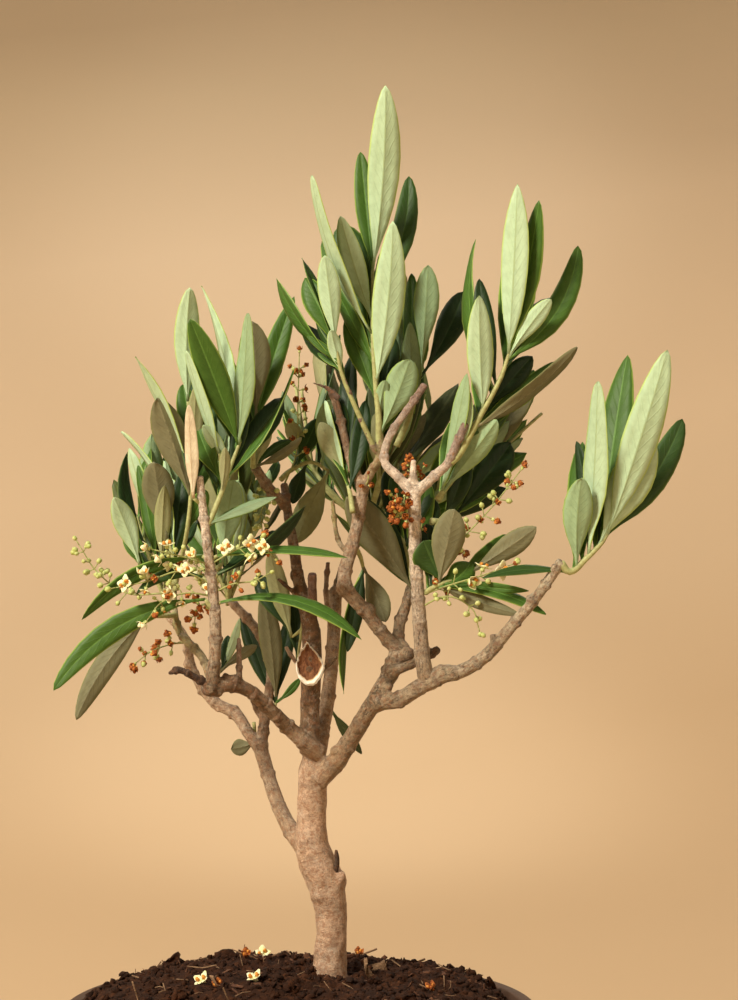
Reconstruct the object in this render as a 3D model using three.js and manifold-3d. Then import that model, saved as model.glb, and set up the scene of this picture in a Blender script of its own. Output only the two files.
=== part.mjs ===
// A young olive tree, trained as a starter bonsai, in a round nursery pot.
// Millimetres, +Z up. The origin is the centre of the pot's flat underside. The trunk leans a little
// to the left on its way up, and the front of the tree faces -Y.
import * as THREE from "three";
import { mergeVertices } from "three/addons/utils/BufferGeometryUtils.js";
import Module from "manifold-3d";

// Driving dimensions of the pot and the soil in it
const POT_HEIGHT = 122;
const RIM_RADIUS = 78.5;
const RIM_BAND = 9;
const RIM_OVERHANG = 3;
const FOOT_RADIUS = 56;
const FOOT_CHAMFER = 1.5;
const POT_WALL = 1.8;
const POT_SIDES = 32;
const DRAIN_HOLES = 6;
const DRAIN_RADIUS = 5;
const DRAIN_CIRCLE = 38;
const DRAIN_SIDES = 16;
const SOIL_BELOW_RIM = 2;
const SOIL_MOUND = 10;
const SOIL_RINGS = 4;

// Driving dimensions of the tree: where the trunk stands, and how finely limbs and foliage are faceted
const CLEARANCE = 0.3;
const TRUNK_FOOT = [9.7, 10];
const GROUND = POT_HEIGHT - SOIL_BELOW_RIM + SOIL_MOUND;
const TRUNK_CUT = GROUND + CLEARANCE;
const LIMB_CORE = 0.4;
const LIMB_STEP = 1.9;
const STOUT_GIRTH = 5;
const STOUT_SIDES = 8;
const SLENDER_SIDES = 6;
const SPRAY_DETAIL = 2;
const SPRAY_LUMPS = 7;
const SPRAY_LUMP_SIZE = 0.3;
const SPRAY_LUMP_POWER = 6;
const SPRAY_WAIST = 0.92;
const FIRST_SEED = 11;
const SEED_STEP = 7;

const finish = {
  bark: new THREE.MeshStandardMaterial({ color: 0x9a7f66, roughness: 0.85 }),
  paleBark: new THREE.MeshStandardMaterial({ color: 0xb39a80, roughness: 0.8 }),
  deadWood: new THREE.MeshStandardMaterial({ color: 0x5a4638, roughness: 0.9 }),
  foliage: new THREE.MeshStandardMaterial({ color: 0x6f8a4e, roughness: 0.6 }),
  backFoliage: new THREE.MeshStandardMaterial({ color: 0x4d6a3c, roughness: 0.6 }),
  plastic: new THREE.MeshStandardMaterial({ color: 0x211a17, roughness: 0.5 }),
  soil: new THREE.MeshStandardMaterial({ color: 0x2c1c14, roughness: 1 }),
};

// Each limb has a route of its few bends, from inside its parent to its tip, and its thickness at each.
// The trunk rises from the soil past an old graft ledge and a knob, and ends at the main fork.
const limbs = [
  {
    name: "trunk",
    route: [
      [...TRUNK_FOOT, GROUND - 2], [9.8, 10, 136], [10.2, 10, 144], [10, 10, 152], [9, 10, 159],
      [6.4, 10, 166], [4, 10, 173.5], [3.8, 10, 182], [4, 9, 191], [4.2, 8, 200], [4.2, 8, 207],
    ],
    girth: [12.4, 11, 10.4, 11.2, 12, 12.4, 11.6, 10, 9.8, 10.2, 9.4],
  },
  // The front right bough, with a long outer limb and a pale upright that forks in three
  {
    name: "right_bough",
    route: [[4.7, 8, 197.5], [11.3, 4, 203.4], [17.2, 0, 211.4], [21, -4, 218], [25.2, -7, 224.3]],
    girth: [6.2, 6.2, 5.8, 5.6, 6],
  },
  {
    name: "right_outer_limb",
    route: [
      [24, -6.6, 223.2], [32, -9, 224.7], [39.3, -12, 229.2], [45.4, -14, 232.6], [53.6, -16, 235],
      [61.2, -18, 240.7], [67.8, -20, 248.5], [76, -22, 257.6], [84.5, -24, 270],
    ],
    girth: [5.4, 5.3, 5.3, 5.6, 4.6, 4.3, 3.9, 3.5, 3.3],
  },
  {
    name: "right_upright",
    route: [
      [41.5, -13, 230], [39.9, -14, 240.4], [38.8, -15, 256.6], [37.8, -16, 272.8], [37.2, -17, 292],
    ],
    girth: [5.6, 4.9, 4.5, 4.3, 4.4],
    bark: "paleBark",
  },
  {
    name: "right_upright_left_arm",
    route: [
      [37.2, -17, 290.5], [32.3, -16, 296.4], [27.8, -15, 301.6], [29.5, -14, 309.7], [35.6, -14, 318.8],
      [41.1, -14, 326.6],
    ],
    girth: [3.6, 3.5, 3.2, 3, 3, 3.2],
    bark: "paleBark",
  },
  {
    name: "right_upright_right_arm",
    route: [
      [37.4, -17, 290.5], [43.8, -19, 296.7], [48.2, -20, 300.9], [51, -21, 307.3], [53.9, -22, 313.7],
    ],
    girth: [3.6, 3.3, 3.2, 2.8, 2.9],
    bark: "paleBark",
  },
  {
    name: "right_upright_stub",
    route: [[37.2, -17, 291], [37.1, -17.2, 296], [37.1, -17.4, 302]],
    girth: [3.2, 3, 2.6],
    bark: "paleBark",
  },
  // The inner limb off the same bough: it leans left, turns up at a knuckle and forks below the top
  {
    name: "inner_bough",
    route: [[25, -7, 223.5], [28.9, -4, 230.6], [33, 0, 239.5]],
    girth: [6, 5.6, 5.8],
  },
  {
    name: "inner_limb",
    route: [
      [32.9, 0, 238.6], [28, -2, 244.2], [22.3, -4, 251.6], [15.7, -6, 259.5], [14.8, -5, 264.7],
      [17.1, -3, 273.2], [19.5, 0, 284.1], [20.8, 2, 294.3],
    ],
    girth: [4.8, 4.6, 4.6, 5, 4.6, 4.3, 4.2, 4.3],
  },
  {
    name: "inner_left_arm",
    route: [[20.8, 2, 293.6], [17.2, 3, 300.6], [14.9, 5, 308.9], [12.7, 7, 318.3], [10.3, 8, 325.7]],
    girth: [3.6, 3.3, 3, 2.7, 2.6],
  },
  {
    name: "inner_right_arm",
    route: [[20.8, 2, 293.4], [23.8, 0, 298.9], [26.4, -2, 303.2], [26.2, -2.4, 311]],
    girth: [3.4, 3.1, 3.1, 2.7],
  },
  {
    name: "inner_short_limb",
    route: [[32.4, 0, 239], [32.9, 5, 247.5], [34.7, 9, 252.3], [37, 15, 260]],
    girth: [4.4, 4, 3.7, 3.4],
  },
  // The front left bough, with a knob, a cut upright and a dead twig at its end
  {
    name: "left_bough",
    route: [
      [3, 8, 205.5], [-3.3, 2, 213.9], [-10.5, -4, 221.4], [-16.3, -8, 227], [-22.1, -11, 228.8],
      [-28.4, -14, 228.7],
    ],
    girth: [5.6, 5, 4.6, 4.4, 4.2, 4.8],
  },
  {
    name: "left_upright",
    route: [
      [-28.2, -14, 228.4], [-27.2, -15, 237.2], [-26.8, -16, 248.6], [-27.8, -17, 261.6],
      [-29.7, -18, 277.7], [-31.9, -18, 296.7],
    ],
    girth: [4.6, 4.2, 3.9, 3.5, 3.2, 2.6],
  },
  {
    name: "left_dead_twig",
    route: [[-28.6, -14, 229.2], [-33.6, -16, 231.8], [-38.4, -18, 234.2], [-41.8, -19, 233]],
    girth: [2.8, 2.5, 2.3, 1.4],
    bark: "deadWood",
  },
  {
    name: "left_back_limb",
    route: [
      [-28, -13.4, 230], [-31.8, -7, 237.6], [-36.3, -3, 241.9], [-40, 0, 246], [-41.6, 2, 255],
      [-41.4, 4, 265],
    ],
    girth: [3.1, 2.9, 3, 2.6, 2, 1.7],
    bark: "paleBark",
  },
  {
    name: "left_cut_twig",
    route: [[-19.2, -9.6, 227.8], [-19.6, -9, 235.2], [-19.6, -9, 244.3]],
    girth: [2.4, 2, 1.7],
  },
  // The middle bough, dark brown and upright, with a big pruning scar, and a cut stub beside it
  {
    name: "middle_bough",
    route: [
      [3.4, 8.6, 204.5], [3, 8, 218], [3.7, 7, 232.4], [3.7, 7, 244.4], [1, 8, 255.7], [-1, 9, 264],
      [-2.3, 11, 273], [-4.4, 15, 284], [-6, 20, 294.5],
    ],
    girth: [7, 6.4, 6.7, 6.3, 5, 4.1, 3.7, 3.3, 2.8],
  },
  {
    name: "middle_cut_stub",
    route: [[3.9, 6.2, 247], [4, 4.4, 255.8], [4, 2, 264.8]],
    girth: [3.4, 3.2, 3.1],
    bark: "deadWood",
  },
  // The bough behind it carries the back of the tree
  {
    name: "back_bough",
    route: [[5.6, 11, 203], [7.8, 18, 215.4], [9.5, 22, 227.2], [10.6, 26, 241.2], [11.3, 32, 257.4]],
    girth: [5.8, 5.1, 4.8, 4.8, 4.5],
  },
  {
    name: "back_limb",
    route: [[11.2, 31.4, 255.8], [14.6, 42, 266.4], [21.9, 56, 279.5]],
    girth: [4, 3.5, 3.2],
  },
  {
    name: "back_twig",
    route: [[10.5, 26.4, 243], [8.2, 24.6, 255.7], [8.8, 24, 268]],
    girth: [2.4, 2, 1.7],
  },
  // The low bough that leaves the trunk above its knob and goes to the back left
  {
    name: "low_bough",
    route: [[2.8, 11, 170], [-5.1, 18, 180.3], [-9.2, 24, 188.3], [-12, 29, 195.9], [-14.6, 33, 204]],
    girth: [6.4, 5.4, 5.1, 4.8, 5.2],
  },
  {
    name: "low_bough_left_limb",
    route: [
      [-14.4, 32.8, 203], [-18.7, 36, 208.2], [-23.2, 40, 214.4], [-31, 43, 218.6], [-36.3, 45, 224.7],
      [-39.6, 47, 231.9], [-41.7, 48, 240.6], [-49.4, 50, 250.5],
    ],
    girth: [4.4, 4.2, 4.4, 4.2, 3.6, 3.3, 3.2, 2.9],
  },
  {
    name: "low_bough_right_limb",
    route: [
      [-14.4, 33, 203.2], [-13.1, 37, 214.6], [-11.8, 40, 223], [-11.5, 42, 231.6], [-16.1, 46, 242.8],
      [-26.2, 50, 254],
    ],
    girth: [4.2, 3.8, 3.5, 3.5, 3.5, 3.2],
  },
  {
    name: "trunk_snag",
    route: [[11.4, 7.4, 164.5], [12.2, 5.8, 168.4], [11.8, 5, 173]],
    girth: [2.2, 1.8, 1.3],
    bark: "deadWood",
  },
];

// Each spray of foliage runs from its foot, where the shoots leave the limb, to its furthest leaf tip.
// wide is its breadth across the front and deep its breadth from front to back. A belly under 1 puts
// the broadest place nearer the tip, and one over 1 nearer the foot.
const sprays = [
  { name: "foliage_top", foot: [26, -2, 309], tip: [28, 2, 427], wide: 28, deep: 32, belly: 0.9 },
  { name: "foliage_top_left", foot: [14, -4, 326], tip: [1, -8, 397], wide: 26, deep: 28 },
  { name: "foliage_top_right", foot: [35, 10, 316], tip: [49, 18, 371], wide: 24, deep: 28, belly: 1.1 },
  { name: "foliage_right", foot: [53, -20, 296], tip: [79, -22, 392], wide: 36, deep: 34, belly: 0.95 },
  { name: "foliage_right_low", foot: [41, -6, 280], tip: [88, -12, 340], wide: 25, deep: 28 },
  { name: "foliage_far_right", foot: [85, -24, 267], tip: [117, -26, 340], wide: 40, deep: 20 },
  { name: "foliage_middle_right", foot: [38, -14, 264], tip: [83, -4, 260], wide: 24, deep: 30 },
  { name: "foliage_left_top", foot: [-20, -12, 304], tip: [-11, -12, 356], wide: 28, deep: 28 },
  { name: "foliage_left_tall", foot: [-36, -11, 295], tip: [-37, -12, 359], wide: 19, deep: 24 },
  { name: "foliage_left_outer", foot: [-41, 4, 262], tip: [-57, 6, 341], wide: 26, deep: 30 },
  { name: "foliage_left_drooping", foot: [-29, -17, 267], tip: [-81, -28, 228], wide: 20, deep: 14 },
  { name: "foliage_left_hanging", foot: [-47, -15, 252], tip: [-74, -10, 216], wide: 9, deep: 9 },
  { name: "foliage_front_upper", foot: [-30, -17.5, 270], tip: [16, -26, 273], wide: 12, deep: 14 },
  { name: "foliage_front_lower", foot: [-29, -16.5, 257], tip: [21, -28, 243], wide: 9, deep: 12 },
  { name: "foliage_hanging", foot: [17.5, -1, 273], tip: [14, 8, 223], wide: 11, deep: 11 },
  { name: "foliage_centre", foot: [36, 20, 254], tip: [24, 27, 311], wide: 26, deep: 28 },
  { name: "foliage_centre_back", foot: [-5, 23, 290], tip: [0, 38, 340], wide: 26, deep: 32 },
  { name: "foliage_back_left", foot: [-26, 50, 251], tip: [-31, 74, 327], wide: 38, deep: 46 },
  { name: "foliage_back_outer", foot: [-48, 50, 249], tip: [-58, 64, 316], wide: 26, deep: 36 },
  { name: "foliage_back_middle", foot: [4, 56, 296], tip: [6, 70, 350], wide: 30, deep: 36 },
  { name: "foliage_back_right", foot: [22, 56, 276], tip: [46, 82, 353], wide: 38, deep: 46 },
  { name: "foliage_back_top", foot: [30, 40, 306], tip: [31, 50, 374], wide: 28, deep: 36 },
  { name: "foliage_back_far_right", foot: [43, 44, 286], tip: [84, 58, 337], wide: 26, deep: 36 },
];

const wasm = await Module();
wasm.setup();

// A closed mesh whose shared corners are merged, as a solid that can be joined and cut.
function solidOf(geometry) {
  const bare = geometry.clone();
  bare.deleteAttribute("normal");
  bare.deleteAttribute("uv");
  const merged = mergeVertices(bare, 1e-4);
  return new wasm.Manifold(new wasm.Mesh({
    numProp: 3,
    vertProperties: Float32Array.from(merged.attributes.position.array),
    triVerts: Uint32Array.from(merged.index.array),
  }));
}

function geometryOf(solid) {
  const mesh = solid.getMesh();
  const geometry = new THREE.BufferGeometry();
  geometry.setAttribute("position", new THREE.BufferAttribute(mesh.vertProperties, 3));
  geometry.setIndex(new THREE.BufferAttribute(mesh.triVerts, 1));
  geometry.computeVertexNormals();
  return geometry;
}

// A cut can leave loose crumbs beside the main body, which are dropped.
function largestPiece(solid) {
  const pieces = solid.decompose();
  return pieces.reduce((best, piece) => (piece.volume() > best.volume() ? piece : best));
}

// A small linear congruential generator, so that each spray is the same on every run.
function seededRandom(seed) {
  let state = seed;
  return () => {
    state = (state * 1664525 + 1013904223) % 4294967296;
    return state / 4294967296;
  };
}

function randomDirection(random) {
  const height = 2 * random() - 1;
  const turn = 2 * Math.PI * random();
  const reach = Math.sqrt(1 - height ** 2);
  return new THREE.Vector3(reach * Math.cos(turn), reach * Math.sin(turn), height);
}

// A limb is a round tube swept along its smooth route, then swollen at each station to its girth there.
// margin makes it fatter and longer all round, for cutting what must stay clear of it.
function limbSolid({ route, girth }, margin = 0) {
  const bends = route.map((bend) => new THREE.Vector3(...bend));
  const path = new THREE.CatmullRomCurve3(bends, false, "centripetal");
  const thickest = Math.max(...girth);
  const steps = Math.max(3, Math.round(path.getLength() / (LIMB_STEP * thickest)));
  const sides = thickest > STOUT_GIRTH ? STOUT_SIDES : SLENDER_SIDES;
  const section = new THREE.Shape().absarc(0, 0, LIMB_CORE, 0, 2 * Math.PI);
  const tube = new THREE.ExtrudeGeometry(section, {
    steps,
    curveSegments: sides / 2,
    extrudePath: path,
    bevelEnabled: false,
  });
  const stations = path.getSpacedPoints(steps);
  const radiusAt = (station) => {
    const place = path.getUtoTmapping(station / steps) * (girth.length - 1);
    const below = Math.min(Math.floor(place), girth.length - 2);
    return THREE.MathUtils.lerp(girth[below], girth[below + 1], place - below) / 2 + margin;
  };
  const corners = tube.attributes.position;
  const corner = new THREE.Vector3();
  for (let i = 0; i < corners.count; i += 1) {
    corner.fromBufferAttribute(corners, i);
    const distances = stations.map((centre) => centre.distanceToSquared(corner));
    const station = distances.indexOf(Math.min(...distances));
    corner.sub(stations[station]).multiplyScalar(radiusAt(station) / LIMB_CORE).add(stations[station]);
    if (station === 0) corner.addScaledVector(path.getTangent(0), -margin);
    if (station === steps) corner.addScaledVector(path.getTangent(1), margin);
    corners.setXYZ(i, corner.x, corner.y, corner.z);
  }
  return solidOf(tube);
}

// A spray is a ball drawn out from foot to tip, with a few seeded lumps.
function spraySolid({ foot, tip, wide, deep, belly = 1 }, seed, margin = 0) {
  const start = new THREE.Vector3(...foot);
  const along = new THREE.Vector3(...tip).sub(start);
  const length = along.length();
  along.normalize();
  const across = new THREE.Vector3().crossVectors(new THREE.Vector3(0, 1, 0), along).normalize();
  const through = new THREE.Vector3().crossVectors(along, across);
  const random = seededRandom(seed);
  const lumps = Array.from({ length: SPRAY_LUMPS }, () => randomDirection(random));
  const ball = new THREE.IcosahedronGeometry(1, SPRAY_DETAIL);
  const corners = ball.attributes.position;
  const corner = new THREE.Vector3();
  for (let i = 0; i < corners.count; i += 1) {
    corner.fromBufferAttribute(corners, i).normalize();
    const swell = lumps.reduce(
      (sum, lump) => sum + SPRAY_LUMP_SIZE * Math.max(0, corner.dot(lump)) ** SPRAY_LUMP_POWER,
      SPRAY_WAIST,
    );
    const share = ((1 + corner.z) / 2) ** belly;
    const place = start.clone()
      .addScaledVector(along, share * length + corner.z * margin)
      .addScaledVector(across, corner.x * (swell * wide / 2 + margin))
      .addScaledVector(through, corner.y * (swell * deep / 2 + margin));
    corners.setXYZ(i, place.x, place.y, place.z);
  }
  return solidOf(ball);
}

// Turns a profile of [radius, height] pairs about the pot's upright axis.
function turned(profile) {
  const points = profile.map(([radius, height]) => new THREE.Vector2(radius, height));
  return new THREE.LatheGeometry(points, POT_SIDES).rotateX(Math.PI / 2);
}

// The pot is one thin moulding: a flat floor with drain holes, a tapered wall and a broad rim band.
const wallTop = RIM_RADIUS - RIM_OVERHANG;
function wallRadius(height) {
  return THREE.MathUtils.lerp(FOOT_RADIUS, wallTop, height / POT_HEIGHT);
}

function potSolid() {
  const bandFoot = POT_HEIGHT - RIM_BAND;
  let pot = solidOf(turned([
    [0, 0],
    [FOOT_RADIUS - FOOT_CHAMFER, 0],
    [FOOT_RADIUS, FOOT_CHAMFER],
    [wallRadius(bandFoot), bandFoot],
    [RIM_RADIUS - POT_WALL / 2, bandFoot + POT_WALL / 2],
    [RIM_RADIUS, POT_HEIGHT - POT_WALL / 2],
    [RIM_RADIUS - POT_WALL / 2, POT_HEIGHT],
    [wallTop - POT_WALL, POT_HEIGHT],
    [FOOT_RADIUS - POT_WALL, POT_WALL],
    [0, POT_WALL],
  ]));
  for (let hole = 0; hole < DRAIN_HOLES; hole += 1) {
    const turn = (2 * Math.PI * hole) / DRAIN_HOLES;
    const drill = new THREE.CylinderGeometry(DRAIN_RADIUS, DRAIN_RADIUS, 4 * POT_WALL, DRAIN_SIDES);
    drill.rotateX(Math.PI / 2);
    drill.translate(DRAIN_CIRCLE * Math.cos(turn), DRAIN_CIRCLE * Math.sin(turn), 0);
    pot = pot.subtract(solidOf(drill));
  }
  return pot;
}

// The soil fills the pot nearly to its rim and is heaped up to the foot of the trunk.
function soilSolid() {
  const floor = POT_WALL + CLEARANCE;
  const edge = POT_HEIGHT - SOIL_BELOW_RIM;
  const inner = (height) => wallRadius(height) - POT_WALL - 2 * CLEARANCE;
  const heap = Array.from({ length: SOIL_RINGS + 1 }, (_, ring) => {
    const share = 1 - ring / SOIL_RINGS;
    return [share * inner(edge), edge + SOIL_MOUND * (1 - share ** 3)];
  });
  const geometry = turned([[0, floor], [inner(floor), floor], ...heap]);
  const corners = geometry.attributes.position;
  for (let i = 0; i < corners.count; i += 1) {
    const lift = Math.max(0, corners.getZ(i) - edge) / SOIL_MOUND;
    corners.setX(i, corners.getX(i) + lift * TRUNK_FOOT[0]);
    corners.setY(i, corners.getY(i) + lift * TRUNK_FOOT[1]);
  }
  return solidOf(geometry);
}

function boxesMeet(a, b) {
  return [0, 1, 2].every((axis) => a.min[axis] <= b.max[axis] && b.min[axis] <= a.max[axis]);
}

// What is placed later is cut back from everything placed before it, so nothing overlaps.
const tree = new THREE.Group();
const placed = [];
function place(name, body, keepClear, material) {
  let solid = body;
  for (const earlier of placed) {
    if (boxesMeet(solid.boundingBox(), earlier.boundingBox())) solid = solid.subtract(earlier);
  }
  const mesh = new THREE.Mesh(geometryOf(largestPiece(solid)), material);
  mesh.name = name;
  tree.add(mesh);
  if (keepClear) placed.push(keepClear);
}

place("pot", potSolid(), null, finish.plastic);
place("soil", soilSolid(), null, finish.soil);

// The trunk is sawn flat at the ground; everything below the cut is taken off.
const groundBlock = solidOf(
  new THREE.BoxGeometry(RIM_RADIUS, RIM_RADIUS, POT_HEIGHT).translate(0, 0, TRUNK_CUT - POT_HEIGHT / 2),
);
for (const limb of limbs) {
  const body = limbSolid(limb);
  const aboveGround = limb.name === "trunk" ? body.subtract(groundBlock) : body;
  place(limb.name, aboveGround, limbSolid(limb, CLEARANCE), finish[limb.bark ?? "bark"]);
}

sprays.forEach((spray, index) => {
  const seed = FIRST_SEED + SEED_STEP * index;
  const material = spray.name.startsWith("foliage_back") ? finish.backFoliage : finish.foliage;
  place(spray.name, spraySolid(spray, seed), spraySolid(spray, seed, CLEARANCE), material);
});

export default tree;
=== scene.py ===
# A young olive tree, trained as a starter bonsai, in a round nursery pot. Metres throughout.
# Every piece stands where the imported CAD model's solid for it does, and shows what it looks like.
import math
import random

import bmesh
import bpy
import numpy as np
from mathutils import Matrix, Vector, noise
from mathutils.geometry import interpolate_bezier


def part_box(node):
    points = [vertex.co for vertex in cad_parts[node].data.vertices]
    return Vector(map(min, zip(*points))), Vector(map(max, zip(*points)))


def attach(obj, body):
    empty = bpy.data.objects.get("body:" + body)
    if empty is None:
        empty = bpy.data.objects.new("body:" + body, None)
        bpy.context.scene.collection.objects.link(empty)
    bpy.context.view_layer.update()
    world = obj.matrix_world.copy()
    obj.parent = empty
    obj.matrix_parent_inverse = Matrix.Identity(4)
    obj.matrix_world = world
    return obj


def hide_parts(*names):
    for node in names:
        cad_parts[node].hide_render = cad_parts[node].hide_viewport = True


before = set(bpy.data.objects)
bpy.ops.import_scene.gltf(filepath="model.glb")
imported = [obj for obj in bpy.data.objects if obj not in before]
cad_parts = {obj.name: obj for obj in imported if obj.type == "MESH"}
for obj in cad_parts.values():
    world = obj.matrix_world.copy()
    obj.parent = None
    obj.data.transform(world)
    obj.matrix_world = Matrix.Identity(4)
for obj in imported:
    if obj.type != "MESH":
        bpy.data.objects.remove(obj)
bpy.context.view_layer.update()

# The camera stands level with the middle of the crown, and looks square at the front of the tree
# through a long lens, so that the near boughs aren't drawn larger than the far ones.
CAMERA_PLACE = (0.0228, -0.770, 0.289)
CAMERA_LENS = 84.0


def stand(name, data):
    """Puts a mesh, a lamp or a camera in the scene as an object."""
    thing = bpy.data.objects.new(name, data)
    bpy.context.scene.collection.objects.link(thing)
    return thing


camera = stand("camera", bpy.data.cameras.new("camera"))
camera.data.lens = CAMERA_LENS
camera.location = CAMERA_PLACE
camera.rotation_euler = (math.pi / 2, 0, 0)
bpy.context.scene.camera = camera

# The pot is one thin injection moulding in black-brown plastic, with a tapered wall, a broad rim
# band, a step for stacking and six drain holes. It has picked up dust, scuffs and soil.
MM = 0.001
POT_TURNS = 128
POT_WALL = 1.8 * MM
POT_FLOOR = 1.8 * MM
RIM_OVERHANG = 3 * MM
RIM_BAND = 9 * MM
FOOT_RADIUS = 56 * MM
STEP_HEIGHT = 92 * MM
STEP_DEPTH = 0.7 * MM
FOOT_STEP_HEIGHT = 14 * MM
DRAIN_HOLES = 6
DRAIN_RADIUS = 5 * MM
DRAIN_CIRCLE = 38 * MM
FOOT_HOLLOW = 0.8 * MM
FOOT_RING = 5 * MM
FOOT_CHAMFER = 1.5 * MM
RIM_CHAMFER = 0.9 * MM
RIM_DRAFT = 0.5 * MM
LIP_ROUND = 0.45 * MM
SHARP_TURN = math.radians(25)
SMOOTH_TURN = math.radians(40)

pot_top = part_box("pot")[1]
RIM_RADIUS = pot_top.x
POT_HEIGHT = pot_top.z
WALL_TOP = RIM_RADIUS - RIM_OVERHANG


def wall_radius(height):
    """The radius of the pot's tapered wall, outside, at a height."""
    return FOOT_RADIUS + (WALL_TOP - FOOT_RADIUS) * height / POT_HEIGHT


class Tone:
    """One socket of a material. Arithmetic on it adds the Math nodes that do it."""

    def __init__(self, finish, socket):
        self.finish = finish
        self.socket = socket

    def math(self, operation, *others):
        return self.finish.add(
            "ShaderNodeMath", {"operation": operation}, dict(enumerate(others))
        )

    def __add__(self, other):
        return self.math("ADD", self, other)

    def __radd__(self, other):
        return self.math("ADD", other, self)

    def __sub__(self, other):
        return self.math("SUBTRACT", self, other)

    def __rsub__(self, other):
        return self.math("SUBTRACT", other, self)

    def __mul__(self, other):
        return self.math("MULTIPLY", self, other)

    def __rmul__(self, other):
        return self.math("MULTIPLY", other, self)

    def __abs__(self):
        return self.math("ABSOLUTE", self)

    def wave(self):
        return self.math("SINE", self)

    def step(self, low, high):
        """0 below low, 1 above high, and smooth between them."""
        return self.finish.add(
            "ShaderNodeMapRange",
            {"interpolation_type": "SMOOTHSTEP"},
            {"Value": self, "From Min": low, "From Max": high},
        )


class Finish:
    """A material in the making. Its uniform values are set on the shader's own sockets."""

    def __init__(self, name, **uniform):
        self.material = bpy.data.materials.new(name)
        self.material.use_nodes = True
        self.tree = self.material.node_tree
        self.shader = self.tree.nodes["Principled BSDF"]
        for socket, value in uniform.items():
            self.shader.inputs[socket.replace("_", " ")].default_value = value

    def add(self, kind, settings=None, values=None, out=0):
        """Adds any node: its settings first, then what its sockets hold or are joined to."""
        node = self.tree.nodes.new(kind)
        for setting, value in (settings or {}).items():
            if setting == "stops":
                ramp = node.color_ramp.elements
                while len(ramp) < len(value):
                    ramp.new(1)
                for element, (place, colour) in zip(ramp, value):
                    element.position = place
                    element.color = (*colour, 1)
            else:
                setattr(node, setting, value)
        for socket, value in (values or {}).items():
            if isinstance(value, Tone):
                self.tree.links.new(value.socket, node.inputs[socket])
            else:
                node.inputs[socket].default_value = value
        return Tone(self, node.outputs[out])

    def place(self, stretch=(1, 1, 1)):
        """Where a point of the piece is, in metres, stretched along the axes."""
        here = self.add("ShaderNodeTexCoord", out="Object")
        return self.add("ShaderNodeMapping", values={"Vector": here, "Scale": stretch})

    def kept(self, name, out):
        """What the mesh keeps at each of its points under a name."""
        return self.add("ShaderNodeAttribute", {"attribute_name": name}, out=out)

    def grain(self, stretch=(1, 1, 1)):
        """Where a point is along and around its limb, as if the limb were straight."""
        here = self.kept("grain", "Vector")
        return self.add("ShaderNodeMapping", values={"Vector": here, "Scale": stretch})

    def part(self, where, axis):
        """How far a place is along one axis."""
        return self.add("ShaderNodeSeparateXYZ", values={"Vector": where}, out=axis)

    def cloud(self, where, scale, detail=3, roughness=0.55):
        """Soft noise from 0 to 1, mostly near a half."""
        fineness = {"Scale": scale, "Detail": detail, "Roughness": roughness}
        return self.add("ShaderNodeTexNoise", values={"Vector": where} | fineness)

    def cells(self, where, scale):
        """How far a place is from the nearest of many scattered seeds."""
        return self.add(
            "ShaderNodeTexVoronoi", values={"Vector": where, "Scale": scale}, out="Distance"
        )

    def mix(self, share, first, second, blend="MIX"):
        """One colour turning into another as share goes from 0 to 1."""
        colours = [c if isinstance(c, Tone) else (*c, 1) for c in (first, second)]
        return self.add(
            "ShaderNodeMix", {"data_type": "RGBA", "blend_type": blend},
            {0: share, 6: colours[0], 7: colours[1]}, out=2,
        )

    def ramp(self, share, *stops):
        return self.add("ShaderNodeValToRGB", {"stops": stops}, {"Fac": share})

    def show(self, **sockets):
        """Joins what changes over the surface to the shader, and gives the material."""
        for socket, tone in sockets.items():
            self.tree.links.new(tone.socket, self.shader.inputs[socket.replace("_", " ")])
        return self.material

    def bump(self, height, distance, strength=1.0):
        return self.add(
            "ShaderNodeBump",
            values={"Height": height, "Distance": distance, "Strength": strength},
        )


def lone_mesh(body, name):
    """Turns a body being worked on into a mesh."""
    mesh = bpy.data.meshes.new(name)
    body.to_mesh(mesh)
    body.free()
    return mesh


def place_piece(name, mesh, finishes, nodes=()):
    """Shows a body or mesh as one piece of the object, in place of any CAD nodes named."""
    if isinstance(mesh, bmesh.types.BMesh):
        mesh = lone_mesh(mesh, name)
    for finish in finishes:
        mesh.materials.append(finish)
    mesh.shade_smooth()
    piece = stand(name, mesh)
    if nodes:
        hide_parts(*nodes)
    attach(piece, "root")
    return piece


def turned(profile, turns):
    """A closed body turned about the pot's upright axis from (radius, height) corners."""
    body = bmesh.new()
    corners = [body.verts.new((radius, 0, height)) for radius, height in profile]
    edges = [body.edges.new(pair) for pair in zip(corners, corners[1:])]
    bmesh.ops.spin(
        body, geom=corners + edges, cent=(0, 0, 0), axis=(0, 0, 1),
        angle=2 * math.pi, steps=turns, use_merge=True,
    )
    bmesh.ops.remove_doubles(body, verts=body.verts, dist=0.001 * MM)
    bmesh.ops.recalc_face_normals(body, faces=body.faces)
    return body


def applied(mesh, kind, **settings):
    """The mesh that a modifier makes of another, which it uses up."""
    holder = stand("worked", mesh)
    modifier = holder.modifiers.new(kind, kind)
    for setting, value in settings.items():
        setattr(modifier, setting, value)
    graph = bpy.context.evaluated_depsgraph_get()
    result = bpy.data.meshes.new_from_object(holder.evaluated_get(graph))
    bpy.data.objects.remove(holder)
    bpy.data.meshes.remove(mesh)
    return result


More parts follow.
